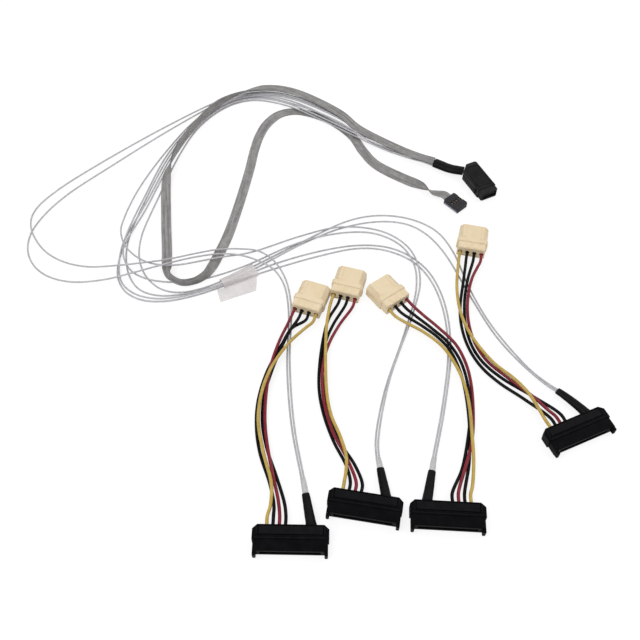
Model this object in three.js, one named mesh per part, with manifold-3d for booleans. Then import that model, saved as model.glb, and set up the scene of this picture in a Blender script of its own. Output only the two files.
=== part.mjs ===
// A breakout cable lying on a table, in millimetres with z up. One right-angled
// multi-lane plug feeds eight thin data wires and a flat ribbon. The data wires end in
// four drive connectors, each with a boot and its own four power wires that come from a
// pale four-pin power connector. The ribbon ends in a small two-row connector.
import * as THREE from "three";
import { mergeVertices } from "three/addons/utils/BufferGeometryUtils.js";
import Module from "manifold-3d";

// The routes and places below are measured from one point of the table. The shift puts
// the middle of the connectors' outline at the origin.
const SHIFT = [-55.13, 6.64, 0];

// Wires
const DATA_RADIUS = 0.62;
const POWER_RADIUS = 1.05;
const WIRE_SIDES = 8;
const RIBBON_WIDTH = 7.4;
const RIBBON_THICKNESS = 0.9;
const RIBBON_CORNER = 0.25;
const STEPS_PER_SPAN = 2;
const FIT_GAP = 0.3;

// Drive connector: width along x, wires leave at y = 0, the mating side faces -y
const DRIVE_HALF_WIDTH = 22;
const DRIVE_REAR_HALF_WIDTH = 19.2;
const DRIVE_REAR_DEPTH = 9;
const DRIVE_SHOULDER = 2.6;
const DRIVE_HEIGHT = 8;
const DRIVE_NOSE_HALF_WIDTH = 21.2;
const DRIVE_NOSE_FRONT = 15.5;
const DRIVE_NOSE_LOW = 0.5;
const DRIVE_NOSE_HIGH = 7.5;
const DRIVE_ARM_INNER = 19.4;
const DRIVE_ARM_OUTER = 21.4;
const DRIVE_ARM_FRONT = 17.8;
const DRIVE_SLOT_HALF_WIDTH = 17.2;
const DRIVE_SLOT_LOW = 2.4;
const DRIVE_SLOT_HIGH = 5.6;
const DRIVE_SLOT_BACK = 9.8;
const COVER_HALF_WIDTH = 18.4;
const COVER_NEAR = 1;
const COVER_FAR = 6;
const COVER_LOW = 7.2;
const INSERT_HALF_WIDTH = 16.2;
const INSERT_LOW = 3.5;
const INSERT_HIGH = 4.5;
const INSERT_FRONT = 15;

// Boots on the data wires, as oval sections given by half width and half height
const BOOT_X = 11.8;
const BOOT_Z = 4;
const BOOT_ROOT = [3.2, 2.75];
const BOOT_TIP = [2.35, 1.7];
const BOOT_TIP_Z = 2.2;
const BOOT_RINGS = 6;
const OVAL_SIDES = 12;

// Power connector: wires enter at y = 0, the open mating end faces +y
const POWER_LENGTH = 22.5;
const POWER_BLOCK_HALF_WIDTH = 9.9;
const POWER_BLOCK_LOW = 0.6;
const POWER_BLOCK_HIGH = 9.6;
const POWER_BLOCK_FAR = 7;
const POWER_COLLAR_HALF_WIDTH = 10.9;
const POWER_COLLAR_NEAR = 6;
const POWER_COLLAR_FAR = 10;
const POWER_HEIGHT = 10.2;
const POWER_SHROUD_HALF_WIDTH = 10.3;
const POWER_SHROUD_LOW = 0.4;
const POWER_SHROUD_HIGH = 9.9;
const POWER_KEY = 2.6;
const POWER_WALL = 1.1;
const POWER_CAVITY_NEAR = 12;
const PIN_PITCH = 5.08;
const PIN_RADIUS = 1.05;
const PIN_FRONT = 20.5;
const PIN_Z = 5.1;

// Multi-lane plug: x from its rear to its mating front, y across
const PLUG_LENGTH = 32;
const PLUG_BODY_FRONT = 27.5;
const PLUG_HALF_WIDTH = 7.5;
const PLUG_LOW = 0.2;
const PLUG_HIGH = 8.9;
const PLUG_REAR = -0.8;
const PLUG_CORNER = 6.3;
const PLUG_NOSE_HALF_WIDTH = 6.9;
const PLUG_NOSE_LOW = 0.9;
const PLUG_NOSE_HIGH = 8.2;
const PLUG_MOUTH_HALF_WIDTH = 5.9;
const PLUG_MOUTH_LOW = 2.1;
const PLUG_MOUTH_HIGH = 7;
const PLUG_MOUTH_BACK = 24;
const CARD_HALF_WIDTH = 5.4;
const CARD_LOW = 4.1;
const CARD_HIGH = 5;
const CARD_FRONT = 31.2;
const LID_NEAR = 3.4;
const LID_FAR = 25;
const LID_HALF_WIDTH = 5.6;
const LID_LOW = 8.1;

// Sleeve where the wires leave the plug: centre points and oval halves
const SLEEVE_PATH = [
  [111.16, 138.02, 4.2],
  [106.6, 139.2, 4.1],
  [102.4, 140.6, 3.8],
  [98.6, 142.7, 3.4],
  [94.4, 145.6, 3.1],
  [89.61, 148.59, 2.9],
];
const SLEEVE_START_WAY = [-0.942, 0.334];
const SLEEVE_END_WAY = [-0.876, 0.482];
const SLEEVE_ROOT = [3.9, 2.7];
const SLEEVE_TIP = [4.25, 2.75];

// Small two-row connector: x from its rear to its mating front, y across
const SIDEBAND_LENGTH = 14;
const SIDEBAND_HALF_WIDTH = 5.2;
const SIDEBAND_HEIGHT = 5.1;
const SIDEBAND_PITCH = 2.54;
const WINDOW_NEAR = 5.4;
const WINDOW_FAR = 8.6;
const WINDOW_HALF_WIDTH = 0.75;
const WINDOW_DEPTH = 1.2;
const SOCKET_HALF = 0.45;
const SOCKET_DEPTH = 3;
const SOCKET_ROWS = [1.3, 3.8];

// Label folded over four of the data wires
const LABEL_FLAG = [
  [-72, 25.6],
  [-68.9, 15.1],
  [-44.7, 25],
  [-44.6, 37.6],
  [-67.1, 27.1],
];
const LABEL_LOW = 0.02;
const LABEL_FLAG_HIGH = 0.45;
const LABEL_SHEET = 0.4;
// Each station: a point on the middle line, the inner half width and the inner height
const LABEL_STATIONS = [
  [-69, 30.6, 3.5, 3.45],
  [-61.3, 34.6, 3.95, 3.35],
  [-53.6, 38.8, 4.5, 3.2],
  [-46, 43, 5.15, 3],
];

// Where each connector lies: x, y, turn about z in degrees, and whether it is the other
// way up
const DRIVES = [
  { x: -16.6, y: -147.3, turn: -1, flipped: false },
  { x: 27.2, y: -127.9, turn: -9.6, flipped: false },
  { x: 74.2, y: -133.2, turn: -3.2, flipped: true },
  { x: 155.7, y: -78.8, turn: 23.5, flipped: false },
];
const POWERS = [
  { x: -9.9, y: 3.5, turn: -19.8, flipped: true },
  { x: 16.7, y: 16, turn: -16.1, flipped: false },
  { x: 53.3, y: 9.5, turn: 36.1, flipped: false },
  { x: 107.8, y: 55.1, turn: -12.5, flipped: false },
];
const PLUG = { x: 114.4, y: 141, turn: -64.5, flipped: false };
const SIDEBAND = { x: 97.4, y: 111, turn: -48.4, flipped: false };
// Boot tips, and the way each boot points where its wires come out
const BOOT_ENDS = [
  { tip: [-8.5, -126.6], way: [-0.174, 0.985] },
  { tip: [36.2, -110.3], way: [-0.137, 0.991] },
  { tip: [67.2, -112.1], way: [0.228, 0.974] },
  { tip: [151.5, -56.6], way: [-0.722, 0.692] },
];

// Routes of the data wires, from the sleeve to the boots
const DATA_ROUTES = {
  data_wire_1a: [
    [90.4, 150.7, 3.2], [82.5, 155.1, 3.2], [67.4, 165, 2.2], [32.1, 189.3, 3.5],
    [-3.7, 220.4, 2.5], [-27.6, 233.8, 1.3], [-45.3, 238, 0.7], [-64.4, 235, 0.7],
    [-87.2, 222.5, 0.7], [-123.7, 194.2, 0.7], [-169.9, 152.9, 0.7], [-200.7, 121.5, 0.7],
    [-212.7, 103.4, 0.9], [-214.7, 90.3, 1.9], [-210.9, 76.5, 2.4], [-199.8, 60.9, 1.3],
    [-185, 50.5, 1.5], [-165.9, 44.4, 2.7], [-143.8, 42.8, 6], [-126, 44.6, 6.8],
    [-108.5, 48.2, 6.2], [-89.2, 53.4, 6.4], [-73.5, 57.4, 6], [-57.4, 59.5, 4.3],
    [-44.1, 57.6, 4.1], [-33.3, 49.7, 3.3], [-24.5, 34.5, 2], [-20.1, 13.4, 0.7],
    [-19.8, -35.4, 1.1], [-15.9, -82.7, 2], [-9.2, -118.3, 1.5], [-7.8, -126.2, 2.2],
  ],
  data_wire_1b: [
    [90.4, 150.7, 1.6], [82.5, 155.1, 1.6], [67.1, 163.9, 0.7], [25.6, 193.7, 2],
    [-7.8, 221.2, 1.6], [-29.8, 232.5, 1], [-49.1, 235.5, 0.7], [-68.1, 231.5, 0.7],
    [-85.1, 221.2, 0.7], [-121.3, 189.4, 0.7], [-163.7, 147.1, 0.7], [-193.6, 115.2, 0.7],
    [-207.5, 92.9, 0.7], [-212.7, 75.7, 0.7], [-211.3, 60.1, 0.7], [-203.7, 46.2, 0.7],
    [-191.3, 36.6, 0.8], [-173.8, 31.8, 1.2], [-151, 32.2, 3.5], [-131.6, 36.4, 5.8],
    [-116.7, 40.9, 6.8], [-101.5, 45.7, 7.3], [-88, 49.6, 7.3], [-72.2, 52.6, 7], [-58.1, 52.5, 6],
    [-44.6, 49.1, 4], [-33.4, 42.1, 3.2], [-25.5, 29.7, 1.6], [-21.7, 8.4, 0.7],
    [-21.4, -40.4, 0.8], [-17.7, -81.7, 0.7], [-10.7, -118.6, 1.5], [-9.3, -126.4, 2.2],
  ],
  data_wire_2a: [
    [89.7, 149.4, 3.2], [81.8, 153.7, 3.2], [67.5, 162.8, 2.2], [36.9, 183.5, 3], [-2, 213.1, 3.4],
    [-27.4, 228.3, 2], [-48.6, 233.4, 1], [-65.4, 230.5, 0.7], [-84.2, 219.7, 0.7],
    [-102.1, 200.6, 0.7], [-121.6, 165.1, 0.9], [-138.8, 120.2, 2.2], [-145, 89.8, 3.9],
    [-144.9, 73.9, 6.3], [-139.4, 59.9, 6.5], [-129.2, 50.3, 5.1], [-116.3, 44.7, 5],
    [-100.6, 43.4, 6], [-84.8, 46.1, 6.9], [-71.3, 50, 6.3], [-50.7, 57.4, 2.6],
    [-14.4, 73.7, 1.8], [10.4, 81.2, 2.6], [30.8, 82.5, 1.4], [48.1, 78.1, 0.7], [61.3, 66.8, 1.5],
    [68.3, 52.4, 2.5], [70.4, 32.4, 1.7], [64.3, 6.7, 1.5], [44.3, -50.9, 3.1], [35.9, -91.4, 2.3],
    [35.9, -102, 1.5], [36.9, -109.9, 2.2],
  ],
  data_wire_2b: [
    [89.7, 149.4, 1.6], [81.8, 153.7, 1.6], [56.4, 167.8, 0.7], [10, 200.9, 5.6],
    [-19.6, 220.1, 4.8], [-40.6, 228.8, 2.9], [-57.7, 230.3, 1.7], [-73.5, 224.9, 1.1],
    [-90.6, 211.3, 0.8], [-107.7, 188.3, 0.7], [-122, 157.2, 0.9], [-132.8, 114.8, 1.9],
    [-139.1, 82.6, 4.5], [-141.6, 64.6, 5], [-140, 51.4, 4], [-133.5, 40.5, 2.8],
    [-122.1, 33.8, 2.5], [-104.2, 31.7, 1.1], [-82.1, 34.9, 0.7], [-54.3, 46.1, 0.9],
    [-21.2, 64, 2.5], [0.9, 73.3, 2], [24.9, 78.5, 0.8], [40.5, 76.9, 0.8], [54.1, 69.1, 1.5],
    [62.8, 58.1, 2.4], [67.6, 43.2, 2.1], [66.8, 23.3, 0.8], [56.7, -11.5, 0.8],
    [41.4, -56.3, 0.9], [34.4, -89.6, 0.7], [34.3, -102.2, 1.5], [35.4, -110.1, 2.2],
  ],
  data_wire_3a: [
    [89, 148.1, 1.6], [81.1, 152.4, 1.6], [45.4, 171.1, 0.7], [19.4, 187.3, 7.2],
    [-0.7, 202.6, 6.4], [-23.8, 218.6, 2.8], [-43, 227.1, 1.1], [-59.9, 228, 0.7],
    [-73.7, 222.5, 0.7], [-89, 209.3, 0.7], [-104.4, 187.4, 0.7], [-117.3, 158.2, 0.7],
    [-130.6, 110.1, 1.3], [-139.3, 79.2, 2.9], [-143, 61.6, 3.5], [-142.8, 43.2, 1.8],
    [-138.4, 29.9, 1.6], [-128.4, 20.9, 1.7], [-113.8, 16.8, 1.9], [-95.9, 18.4, 2.2],
    [-70.5, 27.7, 2.3], [-32.3, 48, 1.4], [1.6, 60.7, 0.8], [27.6, 65.8, 0.7], [47.2, 64.4, 0.7],
    [61.5, 58, 0.7], [74.3, 45.7, 0.7], [82.2, 29.7, 0.7], [87, 5.7, 0.7], [86.5, -26.3, 0.8],
    [78.9, -67.8, 1.8], [69.8, -104.2, 1.5], [68, -112, 2.2],
  ],
  data_wire_3b: [
    [88.3, 146.8, 3.2], [80.4, 151.1, 3.2], [65.4, 159.5, 2.1], [46.1, 169.3, 2.7],
    [23.2, 182.6, 5.6], [-2.1, 201.3, 4.8], [-27.7, 218.5, 3.1], [-44.8, 224.3, 2.4],
    [-60.6, 224.2, 2.4], [-76.2, 217.1, 2.4], [-90.5, 203.2, 2.4], [-104.6, 181, 2.3],
    [-117.7, 148.3, 1.8], [-131.3, 98.8, 1.5], [-140.2, 70.1, 2.4], [-144.2, 50.8, 0.8],
    [-142.4, 35, 0.7], [-135.5, 23.4, 0.7], [-124.2, 16.7, 0.7], [-108.8, 15.2, 0.7],
    [-86.4, 20.4, 0.7], [-46.4, 38.3, 0.7], [-1.6, 55.4, 0.7], [25.8, 62.6, 0.7], [43.4, 62, 0.7],
    [59.8, 55.4, 0.7], [71.4, 45, 0.7], [79.6, 29.2, 0.7], [84.8, 5.1, 0.8], [84.7, -27, 0.8],
    [77.3, -67.9, 0.7], [68.3, -103.8, 1.5], [66.5, -111.6, 2.2],
  ],
  data_wire_4a: [
    [88.3, 146.8, 1.6], [80.4, 151.1, 1.6], [73.4, 154.4, 1], [52.7, 163.7, 1.7],
    [27.5, 179.1, 3.2], [2, 197.6, 2.6], [-20.6, 212.5, 2.6], [-41, 222.4, 0.9],
    [-55.9, 224.7, 0.7], [-71.7, 220, 0.7], [-85.8, 208.8, 0.7], [-99.3, 190.3, 0.7],
    [-109.9, 164.3, 0.7], [-123.6, 110.5, 0.7], [-131, 72.9, 0.7], [-129.7, 53, 0.7],
    [-123.5, 38, 0.7], [-112.8, 26.9, 0.7], [-100.4, 23, 0.7], [-84.5, 25.8, 0.7],
    [-60.9, 37.9, 0.7], [-9.5, 71.5, 0.7], [19.9, 89.1, 0.7], [38.8, 94.5, 0.7], [59, 93.7, 0.7],
    [75.8, 87.3, 0.7], [87.5, 77.2, 0.7], [96.2, 59.6, 0.7], [104.7, 25.2, 1.3],
    [116.1, -6.7, 2.2], [136.3, -39, 0.7], [146, -50.3, 1.5], [151.8, -55.8, 2.2],
  ],
  data_wire_4b: [
    [89, 148.1, 3.2], [81.1, 152.4, 3.2], [64.5, 162.3, 2.2], [27.9, 183.5, 3.2],
    [-10.1, 211.9, 4.2], [-31.6, 224, 3.2], [-48.7, 228.1, 2.6], [-64, 226.3, 2.3],
    [-78.1, 219.3, 2.3], [-92.6, 205, 2.3], [-108, 182, 2.3], [-120.5, 153.4, 1.7],
    [-132.7, 109.7, 0.8], [-139.8, 72.7, 0.7], [-139.1, 52.5, 0.7], [-134.4, 36.6, 0.7],
    [-126.6, 25.9, 0.7], [-115.1, 20.7, 0.8], [-99.3, 20.5, 1], [-77.1, 26.7, 1.1],
    [-52.6, 39.9, 1], [-13.1, 67.1, 0.7], [13.3, 81.3, 0.7], [36.5, 88, 0.7], [54.5, 88.5, 0.7],
    [67.3, 84.8, 0.7], [79.3, 75.1, 0.7], [90.2, 57.6, 0.7], [103.5, 22, 0.7], [117.6, -13, 0.9],
    [132, -36.6, 1.8], [145, -51.4, 1.5], [150.7, -57, 2.2],
  ],
};

// Routes of the power wires, from the power connectors to the drive connectors
const POWER_ROUTES = {
  power_wire_1_yellow: [
    [-2.8, 0.6, 5.1], [-4.9, -5, 4.7], [-9.1, -9.2, 4.8], [-18.6, -20, 5.7], [-27, -34, 7.7],
    [-32.9, -47, 8.3], [-37.1, -62.7, 7.3], [-38.2, -80.2, 5.3], [-34.2, -101.1, 4.3],
    [-28.7, -121.6, 4.9], [-28.9, -134.6, 4], [-30.5, -140.8, 3.6], [-30.6, -146.8, 4],
  ],
  power_wire_1_red: [
    [-17.2, 5.8, 5.1], [-19.2, 0.2, 4.7], [-22.1, -7.6, 4.7], [-26.4, -19.2, 5.3],
    [-30.4, -33.1, 5.5], [-32.6, -45.1, 5.8], [-34.3, -62.9, 4.2], [-34.1, -80.6, 3.3],
    [-31.4, -99.9, 4.2], [-27.6, -117.3, 3], [-24.5, -130.8, 2.9], [-23.3, -140.9, 3.6],
    [-23.4, -146.9, 4],
  ],
  power_wire_1_black_a: [
    [-7.6, 2.4, 5.1], [-9.6, -3.3, 4.7], [-18.9, -8.6, 2.7], [-25.3, -21.7, 3.1],
    [-34.6, -43.4, 2.6], [-39.3, -64.2, 2], [-39.6, -81.8, 1.6], [-36.7, -99.6, 1.4],
    [-29.7, -120.4, 1.1], [-26.9, -133.9, 2.5], [-26.9, -140.8, 3.6], [-27, -146.8, 4],
  ],
  power_wire_1_black_b: [
    [-12.4, 4.1, 5.1], [-14.4, -1.6, 4.7], [-20.3, -14.5, 7.3], [-26.7, -29.5, 5.1],
    [-32.5, -46.5, 2.2], [-35.8, -61.9, 1.6], [-36, -79.4, 1.2], [-32.5, -96.8, 1.1],
    [-25.9, -115.9, 1.3], [-20.7, -133.2, 3.2], [-19.7, -140.9, 3.6], [-19.8, -146.9, 4],
  ],
  power_wire_2_yellow: [
    [9.3, 17.8, 5.1], [7.6, 12.1, 4.7], [6.3, 6, 4.7], [4.4, -8.6, 5.2], [3.8, -23, 5.7],
    [3.6, -39.4, 6.2], [4.3, -59.6, 4.8], [6.8, -75.2, 4.9], [12.7, -91.9, 6], [15.9, -104.6, 5.2],
    [15.4, -113.9, 4.1], [14.4, -119.4, 3.6], [13.4, -125.3, 4],
  ],
  power_wire_2_red: [
    [23.9, 13.6, 5.1], [22.3, 7.8, 4.7], [13.2, -5.5, 2.4], [6.2, -20.2, 2.3], [2.4, -35.8, 3.9],
    [1.4, -52, 4.5], [3, -68.2, 3.7], [8.2, -87.3, 3.5], [16.7, -105, 2.7], [21.5, -120.6, 3.6],
    [20.5, -126.5, 4],
  ],
  power_wire_2_black_a: [
    [14.2, 16.4, 5.1], [12.5, 10.7, 4.7], [6.2, 0, 2.4], [3.1, -11.9, 2.8], [-0.1, -36.1, 3.3],
    [-0.6, -55.7, 2.3], [2.2, -73.1, 1.7], [8.3, -91.9, 1.3], [15.8, -108.1, 1.3], [18, -120, 3.6],
    [17, -125.9, 4],
  ],
  power_wire_2_black_b: [
    [19.1, 15, 5.1], [17.4, 9.2, 4.7], [9.2, -4.6, 2.1], [4.2, -17.5, 1.2], [1.7, -33.1, 1.1],
    [2.2, -53.2, 1.2], [6.5, -76.8, 1.2], [12.7, -93.4, 1.1], [20.8, -107.5, 1.5],
    [25.1, -121.2, 3.6], [24.1, -127.1, 4],
  ],
  power_wire_3_yellow: [
    [47.3, 4.8, 5.1], [50.9, -0.1, 4.7], [57.2, -4.7, 4.3], [69.4, -11.9, 3], [80.8, -23.7, 3.6],
    [88.8, -39.8, 3.9], [92.6, -57.3, 5.6], [93.5, -73, 6.5], [93, -89, 6.6], [92.3, -106.9, 5.2],
    [90.3, -121.9, 3.2], [88.5, -127.7, 3.6], [88.2, -133.7, 4],
  ],
  power_wire_3_red: [
    [59.6, 13.7, 5.1], [63.2, 8.9, 4.7], [69.8, 1.5, 4.1], [79.7, -8.4, 3], [89.8, -21.3, 2.8],
    [95.1, -34, 1.5], [97.3, -49.6, 1.2], [96.2, -73.9, 1.7], [92.8, -93.7, 3.7],
    [87.1, -110.8, 3.5], [82.9, -121.8, 3.4], [81.3, -127.3, 3.6], [81, -133.3, 4],
  ],
  power_wire_3_black_a: [
    [51.4, 7.8, 5.1], [55, 2.9, 4.7], [69.3, -7.6, 3.2], [78.4, -15.9, 2.9], [85.4, -25.9, 3.1],
    [90.2, -38.4, 2], [92.8, -53.8, 1.1], [93.1, -79.9, 1.2], [90.3, -105.8, 1.3],
    [84.9, -127.5, 3.6], [84.6, -133.5, 4],
  ],
  power_wire_3_black_b: [
    [55.5, 10.8, 5.1], [59.1, 5.9, 4.7], [64.8, 0.5, 4.1], [75.5, -8.6, 2.2], [84.7, -19.7, 2.9],
    [91.8, -34.2, 2.6], [94.9, -51.9, 2.3], [94.2, -71.9, 3.7], [90.7, -91.5, 3.4],
    [85.5, -110.6, 1.2], [77.7, -127.1, 3.6], [77.4, -133.1, 4],
  ],
  power_wire_4_yellow: [
    [100.3, 56.5, 5.1], [99, 50.6, 4.7], [97.9, 44.6, 4.3], [95.5, 26.5, 2.4], [95.3, 6.4, 4],
    [97.8, -7.6, 4.7], [103.6, -22.9, 5.4], [113.6, -38, 4.8], [123.9, -49.9, 6.5],
    [132, -60.9, 6.2], [137.9, -73.2, 4.5], [140.3, -78.6, 3.6], [142.7, -84.1, 4],
  ],
  power_wire_4_red: [
    [115.2, 53.2, 5.1], [113.9, 47.3, 4.7], [110.9, 41.7, 4.3], [106.3, 32.2, 4], [101.7, 14.7, 4],
    [100.4, -3.4, 3], [103.1, -21, 2.5], [109.9, -34.8, 2.1], [121.5, -48.4, 3.5],
    [134.5, -61.2, 3.7], [143.8, -71.4, 2.7], [147, -75.7, 3.6], [149.3, -81.2, 4],
  ],
  power_wire_4_black_a: [
    [105.3, 55.4, 5.1], [104, 49.5, 4.7], [102.9, 43.5, 4.3], [100.1, 29.6, 3.2], [96.1, 8.3, 1.2],
    [95.8, -7.8, 1.2], [98.7, -23.7, 1.3], [105.2, -38.1, 1.3], [115.4, -50.2, 1.3],
    [129.5, -61.9, 1.1], [143.7, -77.2, 3.6], [146, -82.7, 4],
  ],
  power_wire_4_black_b: [
    [110.2, 54.3, 5.1], [108.9, 48.4, 4.7], [103.7, 32.8, 3.5], [99.6, 13.9, 1.9],
    [98.6, -6.3, 1.2], [101.2, -22.4, 1.1], [107, -34.9, 1.1], [117.6, -46.7, 1.2],
    [137, -61.3, 1.3], [150.3, -74.3, 3.6], [152.6, -79.8, 4],
  ],
};

// Route of the ribbon: each point has its roll about the route in degrees, 0 lying flat
const RIBBON_ROUTE = [
  [89.3, 148.7, 4.6, 0], [79.3, 153, 4.4, 0], [62.8, 163.1, 3.8, 0], [30, 186.4, 5, 0],
  [16.7, 201, 6.8, 0], [-16.5, 225.7, 6.8, 0], [-33.6, 233.2, 6, 0], [-48.8, 234.7, 5.6, 8],
  [-66.8, 226.2, 7.2, 52], [-84.1, 212.8, 7.3, 90], [-99.8, 189.2, 7.2, 90],
  [-111.4, 163.8, 7.1, 90], [-115.5, 148.2, 7.1, 80], [-117.8, 137, 5.2, 35],
  [-118.1, 125.7, 2.7, 6], [-114.5, 91.3, 2, 0], [-110.4, 58.7, 1.5, 0], [-108.9, 45.4, 1.9, 8],
  [-104.7, 32.9, 5.9, 80], [-96.7, 27.9, 5.8, 90], [-87.7, 29.1, 5.8, 90], [-80.8, 34.1, 5.8, 75],
  [-76.5, 43.6, 3.8, 42], [-73, 55.5, 2.1, 26], [-68.6, 70.3, 1.4, 14], [-63.5, 93.9, 0.8, 3],
  [-55.1, 142.8, 0.6, 0], [-52.1, 166.4, 0.6, 0], [-48.6, 182.1, 1, 8], [-43, 195.4, 1.3, 14],
  [-33.1, 207.1, 1, 8], [-19.1, 210.8, 0.6, 0], [6.6, 200.5, 0.6, 0], [25.8, 181.1, 0.8, 4],
  [34.2, 163.1, 1.3, 14], [43.9, 147.6, 1.7, 20], [67.8, 129.2, 2.8, 40], [78.7, 122.1, 3.9, 90],
  [86.5, 116.9, 2.4, 160], [94.1, 114.7, 2.4, 180], [97.2, 111.2, 2.6, 180],
];

const wasm = await Module();
wasm.setup();

// The closed solid of a geometry.
function solidOf(geometry) {
  const plain = geometry.index ? geometry.toNonIndexed() : geometry.clone();
  plain.deleteAttribute("normal");
  plain.deleteAttribute("uv");
  const merged = mergeVertices(plain, 1e-3);
  return new wasm.Manifold(
    new wasm.Mesh({
      numProp: 3,
      vertProperties: new Float32Array(merged.attributes.position.array),
      triVerts: new Uint32Array(merged.index.array),
    }),
  );
}

// A flat-shaded geometry of a solid.
function geometryOf(solid) {
  const mesh = solid.getMesh();
  const position = new Float32Array(mesh.numVert * 3);
  for (let i = 0; i < mesh.numVert; i++) {
    const from = i * mesh.numProp;
    position.set(mesh.vertProperties.subarray(from, from + 3), i * 3);
  }
  const indexed = new THREE.BufferGeometry();
  indexed.setAttribute("position", new THREE.BufferAttribute(position, 3));
  indexed.setIndex(new THREE.BufferAttribute(new Uint32Array(mesh.triVerts), 1));
  const flat = indexed.toNonIndexed();
  flat.computeVertexNormals();
  return flat;
}

// An outline extruded from one height to another, its top and bottom edges chamfered
// inside the outline.
function extruded(outline, low, high, chamfer) {
  const shape = new THREE.Shape(outline.map(([x, y]) => new THREE.Vector2(x, y)));
  const geometry = new THREE.ExtrudeGeometry(shape, {
    depth: high - low - 2 * chamfer,
    bevelEnabled: chamfer > 0,
    bevelThickness: chamfer,
    bevelSize: chamfer,
    bevelOffset: -chamfer,
    bevelSegments: 1,
    steps: 1,
  });
  geometry.translate(0, 0, low + chamfer);
  return geometry;
}

// A block standing on its plan outline.
function block(outline, low, high, chamfer = 0) {
  return solidOf(extruded(outline, low, high, chamfer));
}

// A bar along y with its section given in x and z.
function bar(section, near, far, chamfer = 0) {
  const geometry = extruded(section, -far, -near, chamfer);
  geometry.rotateX(Math.PI / 2);
  return solidOf(geometry);
}

// The corners of a rectangle, cut off by a small amount.
function rectangle(left, right, near, far, cut = 0) {
  if (cut === 0) {
    return [
      [left, near],
      [right, near],
      [right, far],
      [left, far],
    ];
  }
  return [
    [left + cut, near],
    [right - cut, near],
    [right, near + cut],
    [right, far - cut],
    [right - cut, far],
    [left + cut, far],
    [left, far - cut],
    [left, near + cut],
  ];
}

function box(left, right, near, far, low, high) {
  return block(rectangle(left, right, near, far), low, high);
}

// Turns and moves a solid from its connector's own frame to the table.
function placed(solid, place) {
  const handed = place.flipped ? solid.scale([-1, 1, 1]) : solid;
  return handed.rotate([0, 0, place.turn]).translate([place.x, place.y, 0]);
}

// A point of a connector's own frame, on the table.
function placedPoint(place, x, y) {
  const turn = THREE.MathUtils.degToRad(place.turn);
  const side = place.flipped ? -x : x;
  return [
    place.x + side * Math.cos(turn) - y * Math.sin(turn),
    place.y + side * Math.sin(turn) + y * Math.cos(turn),
  ];
}

// Closed skin over a row of rings with equally many points.
function loft(rings) {
  const count = rings[0].length;
  const position = rings.flat(2);
  const index = [];
  for (let r = 0; r + 1 < rings.length; r++) {
    for (let i = 0; i < count; i++) {
      const a = r * count + i;
      const b = r * count + ((i + 1) % count);
      index.push(a, b, b + count, a, b + count, a + count);
    }
  }
  const last = (rings.length - 1) * count;
  for (let i = 1; i + 1 < count; i++) {
    index.push(0, i + 1, i);
    index.push(last, last + i, last + i + 1);
  }
  const geometry = new THREE.BufferGeometry();
  geometry.setAttribute("position", new THREE.Float32BufferAttribute(position, 3));
  geometry.setIndex(index);
  return geometry;
}

// An oval ring round a centre, square to a horizontal heading.
function ovalRing(centre, heading, halfWidth, halfHeight) {
  const size = Math.hypot(heading[0], heading[1]);
  const across = [-heading[1] / size, heading[0] / size];
  const ring = [];
  for (let i = 0; i < OVAL_SIDES; i++) {
    const angle = (2 * Math.PI * (i + 0.5)) / OVAL_SIDES;
    const side = halfWidth * Math.cos(angle);
    ring.push([
      centre[0] + across[0] * side,
      centre[1] + across[1] * side,
      centre[2] + halfHeight * Math.sin(angle),
    ]);
  }
  return ring;
}

function mix(a, b, share) {
  return a.map((value, i) => value + (b[i] - value) * share);
}

// A route that spreads its steps evenly between the chosen points.
class Route extends THREE.CatmullRomCurve3 {
  constructor(points) {
    super(points.map(([x, y, z]) => new THREE.Vector3(x, y, z)));
  }

  getUtoTmapping(u) {
    return u;
  }
}

// A route whose section rolls about it, by an angle given at each point.
class RolledRoute extends Route {
  constructor(points) {
    super(points);
    this.rolls = points.map((point) => THREE.MathUtils.degToRad(point[3]));
  }

  rollAt(u) {
    const place = u * (this.rolls.length - 1);
    const before = Math.min(Math.floor(place), this.rolls.length - 2);
    return THREE.MathUtils.lerp(
      this.rolls[before],
      this.rolls[before + 1],
      place - before,
    );
  }

  computeFrenetFrames(segments) {
    const tangents = [];
    const normals = [];
    const binormals = [];
    for (let i = 0; i <= segments; i++) {
      const tangent = this.getTangentAt(i / segments);
      const level = new THREE.Vector3(-tangent.y, tangent.x, 0).normalize();
      const upright = new THREE.Vector3().crossVectors(tangent, level);
      const roll = this.rollAt(i / segments);
      const across = level
        .multiplyScalar(Math.cos(roll))
        .addScaledVector(upright, Math.sin(roll));
      tangents.push(tangent);
      normals.push(across);
      binormals.push(new THREE.Vector3().crossVectors(tangent, across));
    }
    return { tangents, normals, binormals };
  }
}

function swept(route, section) {
  const shape = new THREE.Shape(section.map(([x, y]) => new THREE.Vector2(x, y)));
  return new THREE.ExtrudeGeometry(shape, {
    steps: STEPS_PER_SPAN * (route.points.length - 1),
    extrudePath: route,
    bevelEnabled: false,
  });
}

function wireGeometry(points, radius) {
  const section = [];
  for (let i = 0; i < WIRE_SIDES; i++) {
    const angle = (2 * Math.PI * (i + 0.5)) / WIRE_SIDES;
    section.push([radius * Math.cos(angle), radius * Math.sin(angle)]);
  }
  return swept(new Route(points), section);
}

function ribbonGeometry(points) {
  const half = RIBBON_WIDTH / 2;
  const thin = RIBBON_THICKNESS / 2;
  return swept(
    new RolledRoute(points),
    rectangle(-half, half, -thin, thin, RIBBON_CORNER),
  );
}

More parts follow.
